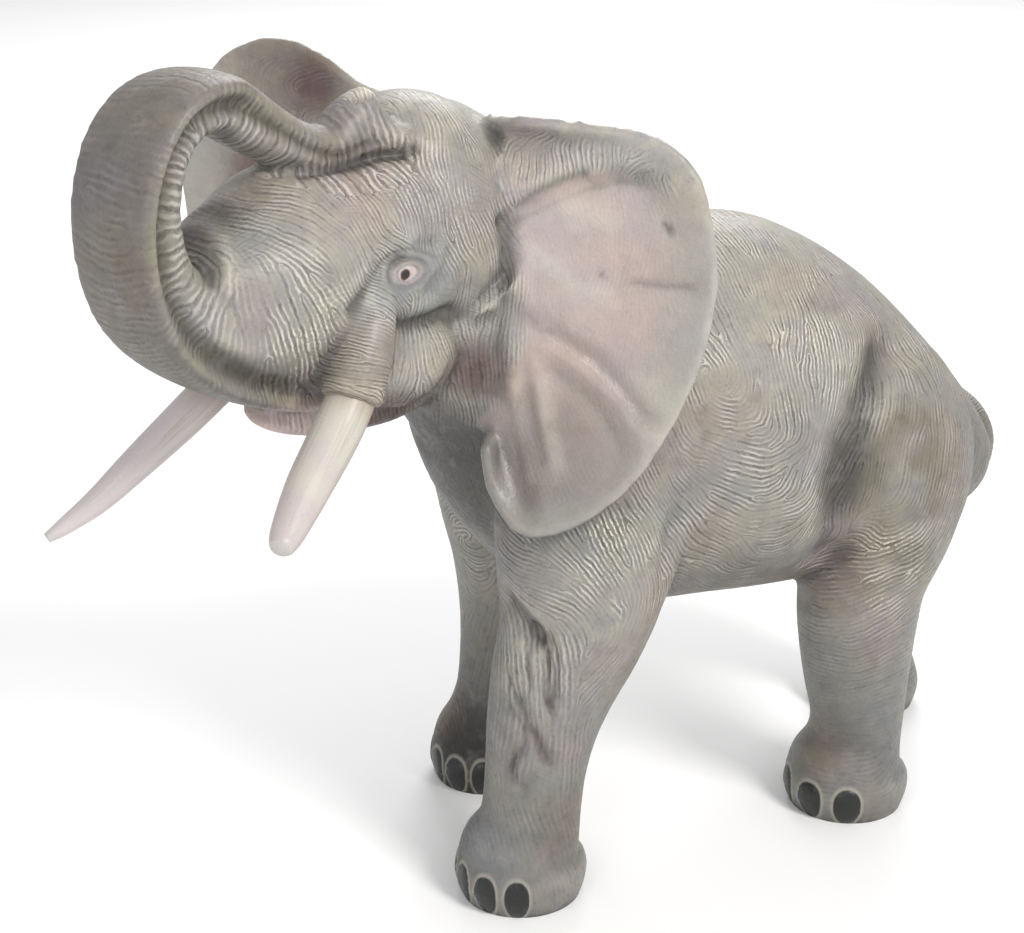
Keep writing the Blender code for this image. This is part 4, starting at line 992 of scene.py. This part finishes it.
def skin_mesh():
    """The casting with its lines and folds, and what the paint needs to know at each vertex."""
    shapes = torso() + legs() + tail() + neck() + head() + trunk() + ears()
    mesh = fused("statue_skin", shapes, VOXEL)
    relax(mesh, 24)
    carve(mesh)
    relax(mesh, 2)
    points, normal, edges = read(mesh) / UNIT, normals(mesh), edge_ends(mesh)
    coarse = len(points)
    place = regions(points, normal)
    relax(mesh, 12, weight=place["ear"] * ease(place["ear_out"], 0.7, 0.85))
    points, normal = read(mesh) / UNIT, normals(mesh)
    k1, a1, k2, a2 = headings(points, normal, place)
    psi1 = line_phase(points, edges, k1, LINE_ROUNDS)
    psi2 = line_phase(points, edges, k2, LINE_ROUNDS)
    hollow = np.zeros(coarse)
    for k in range(3):
        hollow += (mean_of_neighbours(points[:, k], edges, coarse, 12) - points[:, k]) * normal[:, k]
    for name, values in (("k1", k1), ("k2", k2), ("misc", np.column_stack([a1, a2, hollow]))):
        keep(mesh, name, "FLOAT_VECTOR", "POINT", values)
    keep(mesh, "groove", "FLOAT", "POINT", place["groove"])
    mesh = through_modifier(mesh, "SUBSURF", levels=1, render_levels=1)
    points, normal, edges = read(mesh) / UNIT, normals(mesh), edge_ends(mesh)
    count = len(points)
    k1, k2, misc = (read_layer(mesh, name, 3) for name in ("k1", "k2", "misc"))
    finer = []
    for psi, k in ((psi1, k1), (psi2, k2)):
        start = np.zeros(count, complex)
        start[:coarse] = psi
        finer.append(line_phase(points, edges, k, FINE_ROUNDS, start))
    psi1, psi2 = finer
    press = (LINE_DEPTH * misc[:, 0] * (0.5 + 0.5 * psi1.real) ** 1.5
             + CROSS_DEPTH * misc[:, 1] * (0.5 + 0.5 * psi2.real) ** 1.5
             + GROOVE_DEPTH * read_layer(mesh, "groove", 1)[:, 0])
    fine = points - normal * press[:, None]
    mesh.vertices.foreach_set("co", (fine * UNIT).ravel())
    mesh.update()
    fields = np.column_stack([psi1.real, psi1.imag, psi2.real, psi2.imag, k1, k2, misc])
    triangles = sum(len(p.vertices) - 2 for p in mesh.polygons)
    for name in ("k1", "k2", "misc", "groove"):
        mesh.attributes.remove(mesh.attributes[name])
    mesh = through_modifier(mesh, "DECIMATE", ratio=BODY_TRIANGLES / triangles)
    cut_soles(mesh)
    refine(mesh, near_eyes, 0.17, 2)
    refine(mesh, thin_places, 0.22, 1)
    refine(mesh, nail_rims, 0.24, 1)
    tree = KDTree(count)
    for i, p in enumerate(fine):
        tree.insert(p, i)
    tree.balance()
    points = read(mesh) / UNIT
    found = [tree.find_n(p, 4) for p in points]
    index = np.array([[f[1] for f in row] for row in found])
    weight = 1 / (np.array([[f[2] for f in row] for row in found]) + 0.02)
    weight /= weight.sum(axis=1, keepdims=True)
    near = fields[index]
    step = points[:, None] - fine[index]
    kept = (near * weight[:, :, None]).sum(axis=1)
    psi1 = ((near[:, :, 0] + 1j * near[:, :, 1]) * np.exp(1j * (near[:, :, 4:7] * step).sum(axis=2))
            * weight).sum(axis=1)
    psi2 = ((near[:, :, 2] + 1j * near[:, :, 3]) * np.exp(1j * (near[:, :, 7:10] * step).sum(axis=2))
            * weight).sum(axis=1)
    normal = normals(mesh)
    along, high = eye_place(to_head(points), turn_to_head(normal))
    lift, r = eye_relief(along, high)
    calm = ease(r, 1.9, 3.4)
    for axis in SHEATHS:
        q = to_head(points)
        down = unit_vector(axis[-1] - axis[0])
        up = (axis[-1] - q) @ down
        near = (along_path(q, axis) < 4.3) & (up < 3.4)
        lift = lift - near * 0.13 * (0.5 + 0.5 * np.cos(up * 2 * math.pi / 0.95)) ** 2 * ease(-up, -3.4,
                                                                                              -2.4)
    lift = np.where(r < 4, lift, np.minimum(lift, 0))
    nail = nail_place(points)
    raised = 0.14 * (1 - ease(nail, 0.8, 1.02)) - 0.10 * np.exp(-((nail - 1.1) / 0.1) ** 2)
    raised *= ease(points[:, 2], 0.0, 0.5)
    pressed, shade = strokes(points)
    moved = points + normal * (lift + raised - pressed)[:, None]
    moved[:, 2] = np.where(points[:, 2] < 1e-4, points[:, 2], np.maximum(moved[:, 2], 0.01))
    data = {"a1": kept[:, 10] * calm * ease(nail, 1.0, 1.5),
            "a2": kept[:, 11] * calm * ease(nail, 1.0, 1.5),
            "hollow": kept[:, 12], "stroke": shade, "eye": r, "eye_along": along, "eye_high": high,
            "nail": nail}
    return mesh, moved, psi1, kept[:, 4:7], psi2, kept[:, 7:10], data


def corner_phase(mesh, points, psi, heading):
    """The phase at each triangle's corners, unrolled so that it is smooth inside the triangle."""
    corners = np.empty(len(mesh.loops), np.int64)
    mesh.loops.foreach_get("vertex_index", corners)
    tri = corners.reshape(-1, 3)
    angle = np.angle(psi)
    out = np.empty(tri.shape)
    out[:, 0] = angle[tri[:, 0]]
    for c in (1, 2):
        turn = ((heading[tri[:, 0]] + heading[tri[:, c]]) / 2
                * (points[tri[:, c]] - points[tri[:, 0]])).sum(axis=1)
        guess = out[:, 0] + turn
        wrap = angle[tri[:, c]] - guess
        out[:, c] = guess + (wrap + math.pi) % (2 * math.pi) - math.pi
    return out.ravel()


def keep(mesh, name, kind, domain, values):
    layer = mesh.attributes.new(name, kind, domain)
    slot = {"FLOAT": "value", "FLOAT_VECTOR": "vector", "FLOAT_COLOR": "color"}[kind]
    layer.data.foreach_set(slot, np.asarray(values, np.float32).ravel())


# Paint

BASE = np.array([0.41, 0.385, 0.325])
LILAC = np.array([0.33, 0.30, 0.305])
PINK = np.array([0.43, 0.33, 0.30])
BLUE = np.array([0.25, 0.28, 0.29])
CREAM = np.array([0.74, 0.70, 0.58])
OLIVE = np.array([0.21, 0.19, 0.12])
BROWN = np.array([0.17, 0.13, 0.10])
MAROON = np.array([0.12, 0.06, 0.052])
BLACK = np.array([0.012, 0.013, 0.012])
DUSK = np.array([0.062, 0.056, 0.05])


def mixed(colour, other, share):
    share = np.clip(share, 0, 1)[:, None]
    return colour * (1 - share) + other * share


def spot(points, centre, radius, soft=0.5):
    """1 inside the radius round a place, 0 well outside it."""
    gap = np.linalg.norm(points - np.array(centre, float), axis=1)
    return 1 - ease(gap, radius * (1 - soft), radius * (1 + soft))


def tint(points, place, hollow, stroke):
    q, n = place["q"], place["n"]
    blot = noise(points, 7, 21)
    colour = BASE * (1 + 0.10 * noise(points, 11, 22)[:, None])
    colour = mixed(colour, LILAC, 0.55 * ease(blot, 0.0, 0.8))
    colour = mixed(colour, PINK, 0.4 * ease(noise(points, 6, 23), 0.1, 0.8))
    colour = mixed(colour, BLUE, 0.3 * ease(noise(points, 9, 24), 0.2, 0.8))
    colour = mixed(colour, OLIVE, 0.22 * ease(noise(points, 4.5, 26), 0.2, 0.9) * (1 - place["head"]))
    band = place["band"]
    # The trunk's outer band is darker lilac grey: partly its own paint, partly painted shade on a face
    # turned from the light
    colour = mixed(colour, LILAC * np.array([0.60, 0.58, 0.55]), 0.85 * band)
    colour = mixed(colour, OLIVE * 1.3, 0.35 * band * ease(noise(points, 6, 31), 0.0, 0.7))
    colour = mixed(colour, BROWN * 1.1, 0.5 * band * ease(noise(points, 3.5, 32), 0.2, 0.8))
    # Painted highlight along the raised lip at each edge of the band
    colour = mixed(colour, BASE * np.array([0.9, 0.9, 0.8]), 0.65 * place["lip"])
    # Ears
    front = place["ear"] * ease(place["ear_side"], -0.1, 0.5)
    left = q[:, 0] > 0
    out = place["ear_out"]
    inner = front * (1 - ease(out, 0.6, 0.95)) * (1 - place["ear_top"])
    colour = mixed(colour, np.array([0.45, 0.35, 0.31]), 0.85 * inner * left)
    # The far ear's inner face in brown and maroon, where the near ear is pink: painted shade on the ear
    # behind the trunk
    colour = mixed(colour, BROWN * 1.3, 0.75 * inner * ~left)
    colour = mixed(colour, MAROON, 0.8 * inner * ~left * ease(noise(points, 5, 41), -0.1, 0.5))
    colour = mixed(colour, BASE * 0.84, 0.6 * front * ease(out, 0.6, 0.95))
    # Painted shade in the groove where the ear's front face meets the head
    colour = mixed(colour, BLUE * 0.6, 0.7 * front * (1 - ease(out, 0.02, 0.12)))
    stain = spot(q, (14, 5.5, 57), 7, 0.6) * ease(noise(points, 2.0, 42), -0.4, 0.5)
    colour = mixed(colour, np.array([0.33, 0.24, 0.17]), 0.4 * inner * left * stain)
    colour = mixed(colour, LILAC, 0.3 * inner * left * ease(noise(points, 5, 43), 0.0, 0.7))
    # Painted shade: the far ear's top seen above the trunk, the gap between the trunk and the far ear, and
    # the pocket inside the trunk's loop
    painted_shade_spots = (((-17.5, 6.5, 86), 6.5, BROWN, 0.7), ((-15.2, 5.8, 84.6), 3.0, MAROON, 0.8),
                  ((-1, 33.5, 78), 3.4, DUSK, 0.75))
    for centre, radius, hue, share in painted_shade_spots:
        colour = mixed(colour, hue, share * spot(q, centre, radius, 0.6))
    behind = place["ear"] * (1 - ease(place["ear_side"], -0.5, 0.1))
    colour = mixed(colour, BASE * np.array([0.62, 0.6, 0.56]), 0.55 * behind)
    # Painted shade: feet, legs and belly darker than the back, and faces turned down darker still
    low = 1 - ease(points[:, 2], 4, 34)
    colour = mixed(colour, BLUE * np.array([0.80, 0.76, 0.70]), 0.5 * low)
    under = ease(-n[:, 2], 0.1, 0.8)
    colour = mixed(colour, DUSK * 1.6, 0.55 * under)
    # Painted shade on the far front leg and its foot, and on the chest between the front legs
    colour = mixed(colour, DUSK * 1.5, 0.6 * spot(points, (-14.4, -15.4, 8), 15, 0.6))
    colour = mixed(colour, BROWN * 0.15, 0.95 * spot(points, (-14.4, -17, 3), 9.5, 0.4))
    colour = mixed(colour, DUSK * 0.5, 0.78 * spot(points, (4.2, -28.5, 47), 9.5, 0.5))
    # Painted shade on the inner side of the near front leg
    inside = ease(-n[:, 0], 0.1, 0.7) * (points[:, 0] > 8) * (points[:, 1] < -8) * (1 - ease(points[:, 2],
                                                                                             34, 42))
    colour = mixed(colour, DUSK, 0.7 * inside)
    for hand in HANDS:
        foot = points * np.array([hand, 1, 1])
        for centre in ((12.5, 13.5, 9), (17, -19.5, 9.5)):
            colour = mixed(colour, BROWN * 1.4, 0.6 * spot(foot, centre, 4.2, 0.6))
        colour = mixed(colour, OLIVE, 0.55 * spot(foot, (18.8, 18, 36), 6, 0.6)
                       * ease(noise(points, 2.2, 44), -0.4, 0.5))
        colour = mixed(colour, MAROON * 1.8, 0.45 * spot(foot, (15.3, 12.5, 32), 4, 0.6))
    # Painted shade: the far hind leg low down, the tail and the rump round it, the near shoulder below the
    # ear, the rump's rear edge and the haunch's hollow
    colour = mixed(colour, DUSK * 1.8, 0.35 * spot(points, (-11, 22, 8), 16, 0.6))
    colour = mixed(colour, DUSK * 1.4, 0.6 * spot(points, (0, 44, 37), 7.5, 0.5))
    colour = mixed(colour, DUSK * 1.6, 0.65 * spot(points, (13.5, -21, 50), 8.5, 0.6))
    colour = mixed(colour, DUSK * 1.2, 0.5 * spot(points, (13.0, 34.5, 41.0), 8.5, 0.7))
    colour = mixed(colour, DUSK * 0.9, 0.75 * spot(points, (17.2, 12, 45), 4.6, 0.6))
    colour = mixed(colour, OLIVE, 0.75 * spot(points, (18, 18, 45), 6.5) * ease(noise(points, 2.5, 25),
                                                                                -0.5, 0.5))
    # Face
    for hand in HANDS:
        face = q * np.array([hand, 1, 1])
        colour = mixed(colour, BLUE * 1.1, 0.5 * spot(face, (10.0, 17.6, 70.5), 5.0))
        # Painted shade in the hollow between the cheek and the ear
        colour = mixed(colour, MAROON, 0.75 * spot(face, (10.3, 8.8, 60.5), 3.2))
        colour = mixed(colour, BROWN * 1.5, 0.6
                       * (1 - ease(along_path(q, SHEATHS[0 if hand > 0 else 1]), 3.9, 5.0))
                       * (1 - ease(q[:, 2], 67, 71)))
        colour = mixed(colour, MAROON * 0.9, 0.8 * spot(face, (5.4, 17.8, 56.8), 4.4))
        colour = mixed(colour, PINK * 1.25, 0.8 * spot(face, (3.0, 28.2, 58.0), 4.2))
    colour = mixed(colour, PINK * 1.1, 0.5 * spot(q, (4, 20, 79), 4.5))
    # Painted shade in the surface's hollows and painted highlight on its bulges
    colour = mixed(colour, DUSK * 1.2, 0.72 * ease(hollow, 0.06, 0.30) * (1 - 0.5 * front))
    colour = colour * (1 + 0.42 * ease(-hollow, 0.06, 0.26) * (1 - 0.85 * place["ear"])
                       * (1 - 0.8 * band))[:, None]
    # Painted shade in the groove between the trunk's lip and its rings, and along its edge
    colour = mixed(colour, OLIVE * 0.4, np.maximum(0.9 * place["groove"], 0.6 * place["edge"]))
    # Paint of the single strokes: painted shade in the pressed creases, redder low down (the small chips on
    # the ear are dark marks of their own), and a cream painted highlight on the raised ridges
    low_down = points[:, 2] < 36
    hue = np.where(low_down[:, None], np.array([0.15, 0.10, 0.09]), DUSK * 1.3)
    colour = mixed(colour, hue, np.clip(stroke, 0, 1) * np.where(low_down, 0.7, 1))
    colour = mixed(colour, CREAM * 0.9, 0.45 * np.maximum(-stroke, 0))
    ear = place["ear"]
    level = 0.59 + 0.04 * place["head"] + 0.34 * ear * (1 - 0.2 * place["ear_top"])
    # Painted light: faces turned up lighter, and the rear and the low parts darker
    level = level + 0.12 * ease(n[:, 2], 0.2, 0.9) * (1 - ear) * (1 - 0.7 * place["head"])
    level = level * (1 - 0.14 * ease(points[:, 1], 10, 22)) * (1 - 0.08 * low)
    return colour * level[:, None] * np.array([0.985, 1.0, 1.05])


def painted_glints(points, q):
    """Where the ridges get a cream painted highlight: a little everywhere, more on the back, shoulders,
    thighs, temples, trunk root and crown.
    """
    share = np.full(len(points), 0.12)
    for hand in HANDS:
        for centre, radius in (((12, 5, 62), 11), ((18.5, -20, 43), 7), ((18.5, 17, 33), 5)):
            share = np.maximum(share, spot(points * np.array([hand, 1, 1]), centre, radius, 0.6))
        for centre, radius in (((9, 13, 79), 6), ((7, 31, 70), 6), ((8, 4, 81), 6)):
            share = np.maximum(share, spot(q * np.array([hand, 1, 1]), centre, radius, 0.6))
    return share * ease(noise(points, 2.6, 51), -0.7, 0.5)


def small_paint(colour, known):
    """Eyes over the skin's paint."""
    r, along, high = known["eye"], known["eye_along"], known["eye_high"]
    near = r < 4
    over = ease(high, -0.4, 0.5)
    lid = np.exp(-((r - 1.2) / 0.28) ** 2) * near
    fold = (np.exp(-((r - 1.75) / 0.24) ** 2) * (0.4 + 0.6 * over) + 0.7 * np.exp(-((r - 2.8) / 0.25) ** 2)
            * (0.3 + 0.7 * over)) * near
    colour = mixed(colour, DUSK * 1.8, 0.6 * fold)
    colour = mixed(colour, np.array([0.37, 0.31, 0.29]), 0.6 * lid)
    colour = mixed(colour, np.array([0.52, 0.44, 0.42]), 0.9 * (1 - ease(r, 0.8, 1.0)))
    pupil = np.hypot(along - 0.45, high - 0.05)
    colour = mixed(colour, np.array([0.10, 0.035, 0.03]), 1 - ease(pupil, 0.48, 0.64))
    colour = mixed(colour, BLACK, 1 - ease(pupil, 0.38, 0.5))
    return np.column_stack([np.clip(colour, 0, 1), np.ones(len(r))])


def put(tree, kind, inputs=(), **settings):
    """A shader node, with its settings, and each input linked or set."""
    node = tree.nodes.new(kind)
    for key, value in settings.items():
        setattr(node, key, value)
    for key, value in dict(inputs).items():
        if isinstance(value, bpy.types.NodeSocket):
            tree.links.new(value, node.inputs[key])
        else:
            node.inputs[key].default_value = value
    return node


def maths(tree, operation, a, b=0.5):
    return put(tree, "ShaderNodeMath", {0: a, 1: b}, operation=operation).outputs[0]


def times(tree, a, b):
    return maths(tree, "MULTIPLY", a, b)


def window(tree, value, low, high, bottom=0.0, top=1.0):
    """A smooth ramp of a value between two bounds."""
    node = put(tree, "ShaderNodeMapRange", {"Value": value, "From Min": low, "From Max": high,
                                            "To Min": bottom, "To Max": top})
    node.interpolation_type = "SMOOTHSTEP"
    return node.outputs[0]


def blend_colour(tree, share, a, b):
    node = put(tree, "ShaderNodeMix", data_type="RGBA")
    for socket, value in ((node.inputs[0], share), (node.inputs[6], a), (node.inputs[7], b)):
        if isinstance(value, bpy.types.NodeSocket):
            tree.links.new(value, socket)
        else:
            socket.default_value = value
    return node.outputs[2]


def skin_paint():
    made = bpy.data.materials.new("painted_skin")
    made.use_nodes = True
    tree = made.node_tree
    shader = tree.nodes["Principled BSDF"]
    place = put(tree, "ShaderNodeTexCoord").outputs["Object"]
    get = lambda name: put(tree, "ShaderNodeAttribute", attribute_name=name)
    speckle = lambda scale, detail, rough=0.55: put(
        tree, "ShaderNodeTexNoise", {"Vector": place, "Scale": scale, "Detail": detail,
                                     "Roughness": rough}).outputs["Fac"]
    mid, fine, grain = speckle(38, 4), speckle(210, 4, 0.6), speckle(900, 3)
    base = get("tint").outputs["Color"]
    scaled = lambda share: put(tree, "ShaderNodeVectorMath", {0: base, "Scale": share},
                               operation="SCALE").outputs[0]
    light, dark, plain = scaled(1.9), scaled(0.34), get("plain").outputs["Fac"]
    tinted = lambda hue: put(tree, "ShaderNodeVectorMath", {0: base, 1: hue},
                             operation="MULTIPLY").outputs[0]
    broad, patch = speckle(15, 4), speckle(60, 3)
    mottled = blend_colour(tree, window(tree, broad, 0.36, 0.64), tinted((0.95, 0.965, 1.01)),
                           tinted((1.04, 1.02, 0.94)))
    mottled = blend_colour(tree, window(tree, patch, 0.52, 0.66, 0.0, 0.5), mottled,
                           tinted((1.24, 1.22, 1.13)))
    mottled = blend_colour(tree, window(tree, patch, 0.46, 0.34, 0.0, 0.5), mottled,
                           tinted((0.76, 0.73, 0.70)))
    wobble = times(tree, maths(tree, "SUBTRACT", speckle(75, 3), 0.5), 3.2)
    creases, ridges = [], []
    for name in ("1", "2"):
        phase = maths(tree, "ADD", get("line" + name).outputs["Fac"], wobble)
        power = get("a" + name).outputs["Fac"]
        deep = window(tree, maths(tree, "COSINE", phase), 0.72, 1.0)
        between = times(tree, window(tree, maths(tree, "COSINE", times(tree, phase, 2.0)), 0.5, 0.98),
                        window(tree, mid, 0.4, 0.6, 0.05, 0.6))
        creases.append(times(tree, maths(tree, "MAXIMUM", deep, between), power))
        ridges.append(times(tree, window(tree, maths(tree, "COSINE", times(tree, phase, 2.0)), 0.0, -0.9),
                            power))
    crease = maths(tree, "MAXIMUM", creases[0], times(tree, creases[1], 0.9))
    ridge = maths(tree, "MAXIMUM", ridges[0], times(tree, ridges[1], 0.5))
    worn = maths(tree, "SUBTRACT", 1.0, plain)
    colour = blend_colour(tree, times(tree, window(tree, mid, 0.5, 0.72, 0.0, 0.3), worn),
                          blend_colour(tree, worn, base, mottled), (*(LILAC * 0.7), 1))
    # Painted highlight: the skin lines' ridges lighter
    colour = blend_colour(tree, times(tree, ridge, window(tree, mid, 0.4, 0.6, 0.1, 0.9)), colour, light)
    tint_green = put(tree, "ShaderNodeSeparateColor", {0: base}).outputs[1]
    # Cream painted highlight on the ridges, kept off the darkest paint
    glinted = times(tree, ridge, times(tree, get("glint_share").outputs["Fac"],
                                      window(tree, tint_green, 0.06, 0.16)))
    colour = blend_colour(tree, times(tree, glinted, window(tree, fine, 0.4, 0.56, 0.0, 0.85)), colour,
                          (0.66, 0.64, 0.54, 1))
    # Painted shade: the skin lines' creases darker
    colour = blend_colour(tree, times(tree, crease, window(tree, fine, 0.34, 0.62, 0.12, 0.8)), colour,
                          dark)
    colour = blend_colour(tree, times(tree, window(tree, grain, 0.56, 0.75, 0.0, 0.3), worn), colour, light)
    colour = blend_colour(tree, times(tree, window(tree, fine, 0.57, 0.78, 0.0, 0.35), worn), colour, dark)
    nail = get("nail").outputs["Fac"]
    colour = blend_colour(tree, window(tree, nail, 1.32, 1.08, 0.0, 0.55), colour, (*(CREAM * 0.5), 1))
    colour = blend_colour(tree, window(tree, nail, 1.06, 0.94), colour, (*BLACK, 1))
    tree.links.new(colour, shader.inputs["Base Color"])
    gloss = get("gloss").outputs["Fac"]
    rough = maths(tree, "SUBTRACT", window(tree, fine, 0.3, 0.7, 0.44, 0.62), times(tree, gloss, 0.22))
    tree.links.new(rough, shader.inputs["Roughness"])
    height = times(tree, crease, -0.45)
    height = maths(tree, "ADD", height, times(tree, ridge, 0.12))
    height = maths(tree, "ADD", height, times(tree, fine, 0.45))
    height = maths(tree, "ADD", height, times(tree, grain, 0.14))
    bump = put(tree, "ShaderNodeBump", {"Strength": 1.0, "Distance": 0.0016, "Height": height})
    tree.links.new(bump.outputs["Normal"], shader.inputs["Normal"])
    shader.inputs["Specular IOR Level"].default_value = 0.42
    shader.inputs["Coat Weight"].default_value = 0.12
    shader.inputs["Coat Roughness"].default_value = 0.25
    return made


def ivory_paint():
    made = bpy.data.materials.new("ivory")
    made.use_nodes = True
    tree = made.node_tree
    shader = tree.nodes["Principled BSDF"]
    place = put(tree, "ShaderNodeTexCoord").outputs["Object"]
    along = put(tree, "ShaderNodeAttribute", attribute_name="along").outputs["Fac"]
    around = put(tree, "ShaderNodeAttribute", attribute_name="around").outputs["Vector"]
    grain = put(tree, "ShaderNodeTexNoise", {"Vector": around, "Scale": 7.0, "Detail": 4.0,
                                             "Roughness": 0.6}).outputs["Fac"]
    fine = put(tree, "ShaderNodeTexNoise", {"Vector": place, "Scale": 300.0, "Detail": 3.0}).outputs["Fac"]
    blot = put(tree, "ShaderNodeTexNoise", {"Vector": place, "Scale": 22.0, "Detail": 3.0}).outputs["Fac"]
    colour = blend_colour(tree, window(tree, blot, 0.4, 0.65), (0.50, 0.475, 0.41, 1),
                          (0.48, 0.42, 0.41, 1))
    colour = blend_colour(tree, put(tree, "ShaderNodeAttribute", attribute_name="rosy").outputs["Fac"],
                          colour, (0.56, 0.50, 0.51, 1))
    colour = blend_colour(tree, window(tree, grain, 0.52, 0.72, 0.0, 0.45), colour, (0.34, 0.28, 0.20, 1))
    colour = blend_colour(tree, window(tree, along, 0.42, 0.22, 0.0, 0.75), colour, (0.28, 0.22, 0.155, 1))
    colour = blend_colour(tree, window(tree, along, 0.9, 1.0, 0.0, 0.7), colour, (0.50, 0.485, 0.45, 1))
    tree.links.new(colour, shader.inputs["Base Color"])
    tree.links.new(window(tree, fine, 0.3, 0.7, 0.26, 0.42), shader.inputs["Roughness"])
    height = maths(tree, "ADD", times(tree, grain, 0.8), times(tree, fine, 0.25))
    bump = put(tree, "ShaderNodeBump", {"Strength": 0.6, "Distance": 0.0008, "Height": height})
    tree.links.new(bump.outputs["Normal"], shader.inputs["Normal"])
    shader.inputs["Subsurface Weight"].default_value = 0.06
    shader.inputs["Subsurface Radius"].default_value = (0.004, 0.0025, 0.0015)
    return made


# The pieces

def into_box(points, box):
    """Stretches points by a hair so that they fill the box of the CAD node that they stand for."""
    low, high = np.array(box[0]), np.array(box[1])
    return low + (points - points.min(axis=0)) * (high - low) / (points.max(axis=0) - points.min(axis=0))


# Where the CAD puts the figure: its left tusk is the same loft, so the two lowest corners agree.
plain_tusk = read(tusk_mesh("left_tusk", 2, 14))
SHIFT = np.array(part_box("left_tusk")[0]) - plain_tusk.min(axis=0)

scene = bpy.context.scene
scene.view_settings.view_transform = "Standard"
casting, bare, psi1, k1, psi2, k2, known = skin_mesh()
place = regions(bare, normals(casting))
casting.vertices.foreach_set("co", (bare * UNIT).ravel())
relax(casting, 12, weight=place["ear"] * ease(place["ear_out"], 0.72, 0.88))
bare = read(casting) / UNIT
keep(casting, "line1", "FLOAT", "CORNER", corner_phase(casting, bare, psi1, k1))
keep(casting, "line2", "FLOAT", "CORNER", corner_phase(casting, bare, psi2, k2))
keep(casting, "a1", "FLOAT", "POINT", known["a1"])
keep(casting, "a2", "FLOAT", "POINT", known["a2"])
keep(casting, "tint", "FLOAT_COLOR", "POINT",
     small_paint(tint(bare, place, known["hollow"], known["stroke"]), known))
wet = np.maximum(1 - ease(known["nail"], 0.9, 1.05), 0.5 * (1 - ease(known["eye"], 0.9, 1.3)))
keep(casting, "gloss", "FLOAT", "POINT", np.maximum(place["ear"] * 0.9, wet))
keep(casting, "nail", "FLOAT", "POINT", np.minimum(known["nail"], 2))
keep(casting, "glint_share", "FLOAT", "POINT", painted_glints(bare, place["q"]))
keep(casting, "plain", "FLOAT", "POINT", np.maximum(wet, 0.6 * place["ear"] * (1 - place["ear_top"])))
casting.vertices.foreach_set("co", into_box(bare * UNIT + SHIFT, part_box("elephant_body")).ravel())
casting.update()
casting.shade_smooth()
body = bpy.data.objects.new("skin", casting)
scene.collection.objects.link(body)
casting.materials.clear()
casting.materials.append(skin_paint())
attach(body, "root")
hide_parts("elephant_body")

ivory = ivory_paint()
TUSK_STEPS, TUSK_SEGMENTS = 12, 40
for name in TUSKS:
    data = tusk_mesh(name, TUSK_STEPS, TUSK_SEGMENTS)
    count = len(data.vertices)
    along = np.repeat(np.linspace(0, 1, count // TUSK_SEGMENTS), TUSK_SEGMENTS)
    angle = np.tile(np.linspace(0, 2 * math.pi, TUSK_SEGMENTS, endpoint=False), count // TUSK_SEGMENTS)
    keep(data, "along", "FLOAT", "POINT", along)
    keep(data, "rosy", "FLOAT", "POINT", np.full(count, 0.15 if name.startswith("left") else 0.85))
    around = np.column_stack([np.cos(angle), np.sin(angle), along * 0.5])
    keep(data, "around", "FLOAT_VECTOR", "POINT", around)
    data.vertices.foreach_set("co", into_box(read(data) + SHIFT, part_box(name)).ravel())
    data.update()
    data.shade_smooth()
    data.materials.append(ivory)
    piece = bpy.data.objects.new(name + "_carved", data)
    scene.collection.objects.link(piece)
    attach(piece, "root")
    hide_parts(name)


# Floor, light and camera

REACH = 12  # metres that the floor goes each way
floor_data = bpy.data.meshes.new("floor")
floor_data.from_pydata([(x * REACH, y * REACH, 0) for x, y in ((-1, -1), (1, -1), (1, 1), (-1, 1))], [],
                       [(0, 1, 2, 3)])
floor = bpy.data.objects.new("floor", floor_data)
scene.collection.objects.link(floor)
pale = bpy.data.materials.new("pale_floor")
pale.use_nodes = True
pale.node_tree.nodes["Principled BSDF"].inputs["Base Color"].default_value = (0.94, 0.94, 0.94, 1)
pale.node_tree.nodes["Principled BSDF"].inputs["Roughness"].default_value = 0.9
floor_data.materials.append(pale)

world = bpy.data.worlds.new("studio")
scene.world = world
world.use_nodes = True
world.node_tree.nodes["Background"].inputs["Color"].default_value = (1, 1, 1, 1)
world.node_tree.nodes["Background"].inputs["Strength"].default_value = 0.66

AIM = Vector((0, 0, 0.45))
LAMPS = [  # place, size, watts, colour
    ((2.9, 0.9, 3.0), 1.3, 105, (1.0, 0.985, 0.96)),
    ((2.2, -2.6, 1.6), 1.8, 22, (0.95, 0.97, 1.0)),
    ((-2.0, 1.4, 2.6), 1.8, 18, (1.0, 1.0, 1.0)),
    ((-5.5, 3.5, 5.0), 5.0, 220, (1.0, 1.0, 1.0)),
]
for i, (place, size, watts, colour) in enumerate(LAMPS):
    lamp = bpy.data.lights.new("lamp_%d" % i, "AREA")
    lamp.shape = "DISK"
    lamp.size = size
    lamp.energy = watts
    lamp.color = colour
    thing = bpy.data.objects.new("lamp_%d" % i, lamp)
    thing.location = place
    thing.rotation_mode = "QUATERNION"
    thing.rotation_quaternion = (Vector(place) - AIM).to_track_quat("Z", "Y")
    scene.collection.objects.link(thing)

PHOTO_WIDTH = 1024   # pixels
FOCAL_PIXELS = 2046  # focal length in those pixels
SENSOR = 36          # mm
camera_data = bpy.data.cameras.new("camera")
camera = bpy.data.objects.new("camera", camera_data)
scene.collection.objects.link(camera)
camera_data.lens = FOCAL_PIXELS / PHOTO_WIDTH * SENSOR
camera_data.sensor_width = SENSOR
camera.location = Vector((1.8581, -1.0976, 1.1988)) + Vector(SHIFT)
camera.rotation_mode = "QUATERNION"
camera.rotation_quaternion = Vector((0.8446, -0.4119, 0.3420)).to_track_quat("Z", "Y")
scene.camera = camera
